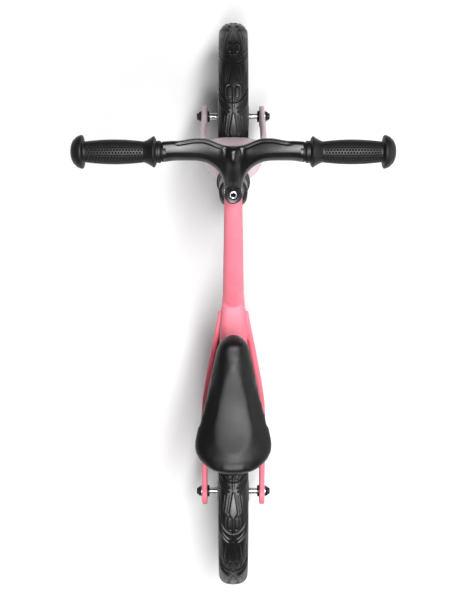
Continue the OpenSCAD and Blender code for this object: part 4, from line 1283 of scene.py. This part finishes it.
# %% Saddle pan
def pan_mesh():
    """Loft of outlines from the underside up: each is the pad's outline drawn in by an inset,
    and the four screw holes are bored into it."""
    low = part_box("saddle_base")[0].z / MM
    count = 160
    turn = (np.arange(count) + 0.5) * 2 * np.pi / count
    t = 0.05 + 0.9 * (1 - np.cos(turn)) / 2
    half = np.maximum(4, pad_half_width(t) - 7) * np.sign(np.sin(turn))
    outline = np.stack([NOSE_X - SADDLE_L * t, half], 1)
    middle = outline.mean(0)
    rows = []
    for share, rise in ((0.1, 1.0), (0.86, 1.0), (0.88, 0), (0.97, 0), (0.985, 0.3), (1, 1.5),
                        (1, 6), (0.1, 6)):
        ring = middle + (outline - middle) * share
        rows.append(np.column_stack([ring, np.full(count, low + rise)]))
    screws = corners("saddle_screws")
    centre = (screws.min(0) + screws.max(0)) / 2
    shank = screws[(screws[:, 2] > base_low + 1 * MM) & (screws[:, 0] > centre[0])
                   & (screws[:, 1] > 0)]
    spot = (shank.min(0) + shank.max(0)) / 2 - centre
    radius = (shank[:, 0].max() - shank[:, 0].min()) / 2
    bores = [rod(np.array([centre[0] + i * spot[0], j * spot[1], base_low]), UP, -5 * MM,
                 screws[:, 2].max() - base_low, radius) for i in (-1, 1) for j in (-1, 1)]
    solid = outward(mesh_of("saddle_pan", [shell(np.array(rows) * MM, capped=True)]))
    return bored(solid, bores)


piece("saddle_pan", pan_mesh(), "seat", "base_plastic", ["saddle_base"], crease=42)

# %% [markdown]
# ## Steering head
# Two black rings dress the head tube. The shield below it keeps grit out of the lower bearing,
# and a pocket in its back stops the fork after 45 degrees each way. The cover above it is a cap
# with a slot for the beam. Both are injection moulded, so every edge has a small radius.


# %% Shield and head cover
def sector(origin, axes, radii, low, high, half_angle, count=60):
    """Part of a ring behind the axis, for cutting the pocket: four corners carried round."""
    angle = np.pi + np.linspace(-half_angle, half_angle, count)
    ring = np.array([[radii[0], low], [radii[1], low], [radii[1], high], [radii[0], high]]) * MM
    outward_line = np.outer(np.cos(angle), axes[0]) + np.outer(np.sin(angle), axes[1])
    points = (origin + ring[None, :, :1] * outward_line[:, None, :]
              + ring[None, :, 1:] * np.asarray(axes[2]))
    return shell(points, capped=True)


POCKET_RADII = (16.9, 20.5)
POCKET_DEEP = 5.5
POCKET_HALF = math.radians(55.9)
shield_ring = ring_profile(steerer_r, shield_r, shield_low, shield_high, 1.4 * MM)
shield_top = shield_high / MM
pocket = sector(steer_foot, STEERING, POCKET_RADII, shield_top - POCKET_DEEP, shield_top + 3,
                POCKET_HALF)
shield = outward(mesh_of("shield_ring", [turned(shield_ring, steer_foot, steer_axis, 144)]))
piece("shield_ring", bored(shield, [pocket]), "steering", "black_plastic", ["crown_shield"])

cover_ring = soften(np.array([
    [cover_r - 2.6 * MM, cover_low], [cover_r, cover_low], [cover_r, cover_low + 12 * MM],
    [cover_r, cover_high - 1.6 * MM], [cover_r - 2.2 * MM, cover_high],
    [13.9 * MM, cover_high], [13.9 * MM, cover_high - 4 * MM],
    [cover_r - 2.6 * MM, cover_high - 4 * MM]]), 0.9 * MM)
slot = block(steer_foot, STEERING, (-40 * MM, -11.6 * MM, cover_low - 5 * MM),
             (-4 * MM, 11.6 * MM, cover_high + 5 * MM))
cap = outward(mesh_of("head_cap", [turned(cover_ring, steer_foot, steer_axis, 144)]))
piece("head_cap", bored(cap, [slot]), "frame", "black_plastic", ["head_cover"])

# %% [markdown]
# ## Seat clamp
# The clamp is a short steel band with two ears behind, drawn together by one bolt and a nut.


# %% Clamp band, bolt and nut
clamp_low, clamp_high, _ = reach("seat_clamp", post_axis, tower_origin)
clamp_spot = tower_origin - post_ahead * 25.9 * MM + post_axis * (clamp_low + clamp_high) / 2
ear_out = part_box("seat_clamp")[1].y / MM


def clamp_mesh(low, high):
    """Soft-edged ring with a soft-edged block for the ears, cut by the gap, bore and bolt."""
    ring = ring_profile(15 * MM, 20.4 * MM, low, high, 1.2 * MM)
    ears = np.array([[-31.4, -1], [-31.4, 1], [-18, 1], [-18, -1]]) * [MM, ear_out * MM]
    ears = soften(ears, 2.0 * MM)
    middle = ears.mean(0)
    bevel = 0.8 * MM
    rims = [np.column_stack([(ears - middle) * share + middle, np.full(len(ears), z)])
            for share, z in ((0.9, low), (1, low + bevel), (1, high - bevel), (0.9, high))]
    ear_block = shell(tower_origin + np.array(rims) @ np.array(POST), capped=True)
    band = outward(mesh_of("clamp_band", [turned(ring, tower_origin, post_axis, 128)]))
    return bored(bored(band, [ear_block], "UNION"), [
        rod(tower_origin, post_axis, low - 5 * MM, high + 5 * MM, TOWER_R, 128),
        block(tower_origin, POST, (-40 * MM, -SPLIT_HALF, low - 1 * MM),
              (-10 * MM, SPLIT_HALF, high + 1 * MM)),
        rod(clamp_spot, LEFT, -30 * MM, 30 * MM, 2.7 * MM)])


def bolt_mesh(name, seat, axis, low, head_at, head_r, head_l, shank_r, socket_r, socket_l):
    """Socket-head bolt: a round head with softened rims and a six-sided socket, whose inside has
    a value of 1 for painted shade."""
    top = head_at + head_l
    profile = [[0, low], [shank_r - 0.6, low], [shank_r, low + 0.7], [shank_r, head_at],
               [head_r - 0.4, head_at], [head_r, head_at + 0.4], [head_r, top - 0.9],
               [head_r - 0.25, top - 0.35], [head_r - 0.9, top], [socket_r + 0.5, top],
               [socket_r, top - 0.5], [socket_r, top - socket_l], [0, top - socket_l - 0.4]]
    flat_share = [0.0] * 10 + [1.0, 1.0, 1.0]
    mesh = outward(mesh_of(name, [turned(np.array(profile) * MM, seat, axis, 96, closed=False,
                                         flats=6, flat_share=flat_share)]))
    offset = (points_of(mesh) - seat) / MM
    along = offset @ axis
    across = np.linalg.norm(offset - np.outer(along, axis), axis=1)
    # painted shade: the inside of the socket is marked with 1, which the steel finish turns near black
    socket_shade = (along > head_at + 0.5) & (along < top - 0.3) & (across < socket_r + 0.2)
    store(mesh, "socket_shade", socket_shade)
    return mesh


piece("clamp_band", clamp_mesh(clamp_low, clamp_high), "frame", "black_metal", ["seat_clamp"],
      crease=35)
clamp_bolt = bolt_mesh("clamp_screw", clamp_spot, LEFT, -ear_out - 5, ear_out, 4.25, 5, 2.5, 2.2, 3)
piece("clamp_screw", clamp_bolt, "frame", slots["seat_clamp_bolt"], ["seat_clamp_bolt"], crease=35)
nut_profile = soften([[2.5, -ear_out - 4], [4.3, -ear_out - 4], [4.6, -ear_out - 3.6],
                      [4.6, -ear_out - 0.4], [4.3, -ear_out], [2.5, -ear_out]], 0.25)
flat_share = smooth_step(3.2, 4.2, nut_profile[:, 0])
nut = turned(nut_profile * MM, clamp_spot, LEFT, 96, flats=6, flat_share=flat_share)
piece("clamp_hex", outward(mesh_of("clamp_hex", [nut])), "frame",
      slots["seat_clamp_nut"], ["seat_clamp_nut"], crease=35)

# %% [markdown]
# ## Stem bolt and axle hardware
# The stem's bolt has a round head with a hex socket, sunk in the boss. Each axle carries, from
# the wheel outwards: a bright spacer tube, a thick black washer inside the fork or stay, a thin
# bright washer outside it, and a black flanged nut with a rounded end.

# %% Stem bolt
head_low = bolt_high / MM - 6
stem = bolt_mesh("stem_screw", steer_foot, steer_axis, bolt_low / MM, head_low, bolt_r / MM, 6, 3,
                 2.9, 3.4)
piece("stem_screw", stem, "steering", slots["stem_bolt"], ["stem_bolt"], crease=35)


# %% Spacers, washers and nuts
def both_sides(profile, hub, sides=96, closed=True, flats=0, flat_share=None):
    """The same turned part on both ends of an axle, its profile given on the left."""
    return [turned(np.asarray(profile) * [1, side] * MM, hub, LEFT, sides, closed, flats,
                   flat_share) for side in (1, -1)]


AXLE_R = 4.0
TUBE_R = 4.8
TUBE_L = 13.1
THIN_WASHER = 1.2
# From the washer outwards: thread bottom, flange, six-sided body, shoulder, neck and rounded end.
CAP_NUT = [[0, 4], [AXLE_R, 4], [AXLE_R, 0], [8.1, 0], [8.5, 0.4], [8.5, 1], [8.1, 1.4],
           [7.5, 1.5], [7.5, 3.4], [6.9, 3.9], [6.1, 4], [5.2, 4.1], [5.2, 5.4], [4.9, 6.3],
           [4, 7], [2.2, 7.2], [0, 7.2]]
NUT_FLATS = [0, 0, 0, 0, 0, 0, 0, 1, 1, 1, 0.6, 0, 0, 0, 0, 0, 0]

for end, hub, body in (("front", front_hub, "steering"), ("rear", rear_hub, "frame")):
    spacer_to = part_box(f"{end}_spacers")[1].y / MM
    face_in = spacer_to - TUBE_L
    washer_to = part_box(f"{end}_inner_washers")[1].y / MM
    thin_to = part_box(f"{end}_outer_washers")[1].y / MM
    washer_r = reach(f"{end}_inner_washers", LEFT, hub)[2] / MM
    tube = ring_profile(AXLE_R, TUBE_R, face_in, spacer_to, 0.3)
    thick = ring_profile(AXLE_R, washer_r, spacer_to, washer_to, 0.9)
    thin = ring_profile(AXLE_R, washer_r, thin_to - THIN_WASHER, thin_to, 0.3)
    nut = np.array(CAP_NUT) + [0, thin_to]
    parts = {"tubes": ("spacers", both_sides(tube, hub)),
             "thick_washers": ("inner_washers", both_sides(thick, hub)),
             "thin_washers": ("outer_washers", both_sides(thin, hub)),
             "cap_nuts": ("axle_nuts", both_sides(nut, hub, closed=False, flats=6,
                                                  flat_share=NUT_FLATS))}
    for part, (kind, shells) in parts.items():
        node = f"{end}_{kind}"
        piece(f"{end}_{part}", outward(mesh_of(part, shells)), body, slots[node], [node], crease=35)

# %% [markdown]
# ## Floor, light and camera
# The bike stands on a plain pale floor and is seen from straight above, from about the height of
# a raised hand. The room is dark, so that black plastic stays black. A long narrow light hangs
# overhead, parallel to the bike and a little to its right. It draws the highlight down the saddle
# and a narrow shadow along the left of the frame and tyres, and it washes out the shadows of the
# handlebar, which lies across it. A weak strip at the right lifts the edges on that side.

# %% Floor
CAMERA_HEIGHT = 1.58
FLOOR_HALF = 12.0
floor_mesh = bpy.data.meshes.new("floor")
floor_corners = FLOOR_HALF * np.array([[-1, -1, 0], [1, -1, 0], [1, 1, 0], [-1, 1, 0]])
floor_mesh.from_pydata(floor_corners.tolist(), [], [(0, 1, 2, 3)])
floor = bpy.data.objects.new("floor", floor_mesh)
bpy.context.scene.collection.objects.link(floor)
paper = Finish("studio_paper", Roughness=0.95, Specular_IOR_Level=0.1)
paper.feed(Base_Color=paper.colours(paper.blotches(0.4, 2.0), colour(243, 243, 244),
                                    colour(246, 246, 246)))
floor_mesh.materials.append(paper.material)

# %% Soft light
world = bpy.data.worlds.new("studio")
bpy.context.scene.world = world
world.use_nodes = True
world.node_tree.nodes["Background"].inputs["Color"].default_value = (1, 1, 1, 1)
world.node_tree.nodes["Background"].inputs["Strength"].default_value = 0.06


def softbox(name, place, aim, width, height, power):
    """A rectangular light at a place, facing a point."""
    lamp = bpy.data.lights.new(name, "AREA")
    lamp.shape = "RECTANGLE"
    lamp.size, lamp.size_y = width, height
    lamp.energy = power
    holder = bpy.data.objects.new(name, lamp)
    holder.location = place
    holder.rotation_euler = Vector(np.subtract(place, aim)).to_track_quat("Z", "Y").to_euler()
    bpy.context.scene.collection.objects.link(holder)


softbox("key_overhead", (-0.2, -0.22, 2.6), (-0.1, 0, 0), 1.7, 0.32, 88)
softbox("strip_at_right", (0, -1.3, 0.75), (0, 0, 0.25), 1.6, 0.3, 5)

# %% Camera
camera_data = bpy.data.cameras.new("camera")
camera_data.sensor_fit = "VERTICAL"
camera_data.sensor_height = 36
camera_data.lens = 55.5665
camera_data.shift_x = -0.007882
camera_data.shift_y = -0.001478
camera = bpy.data.objects.new("camera", camera_data)
camera.location = (0, 0, CAMERA_HEIGHT)
camera.rotation_euler = (0, 0, -math.pi / 2)
bpy.context.scene.collection.objects.link(camera)
bpy.context.scene.camera = camera
bpy.context.scene.view_settings.view_transform = "Standard"
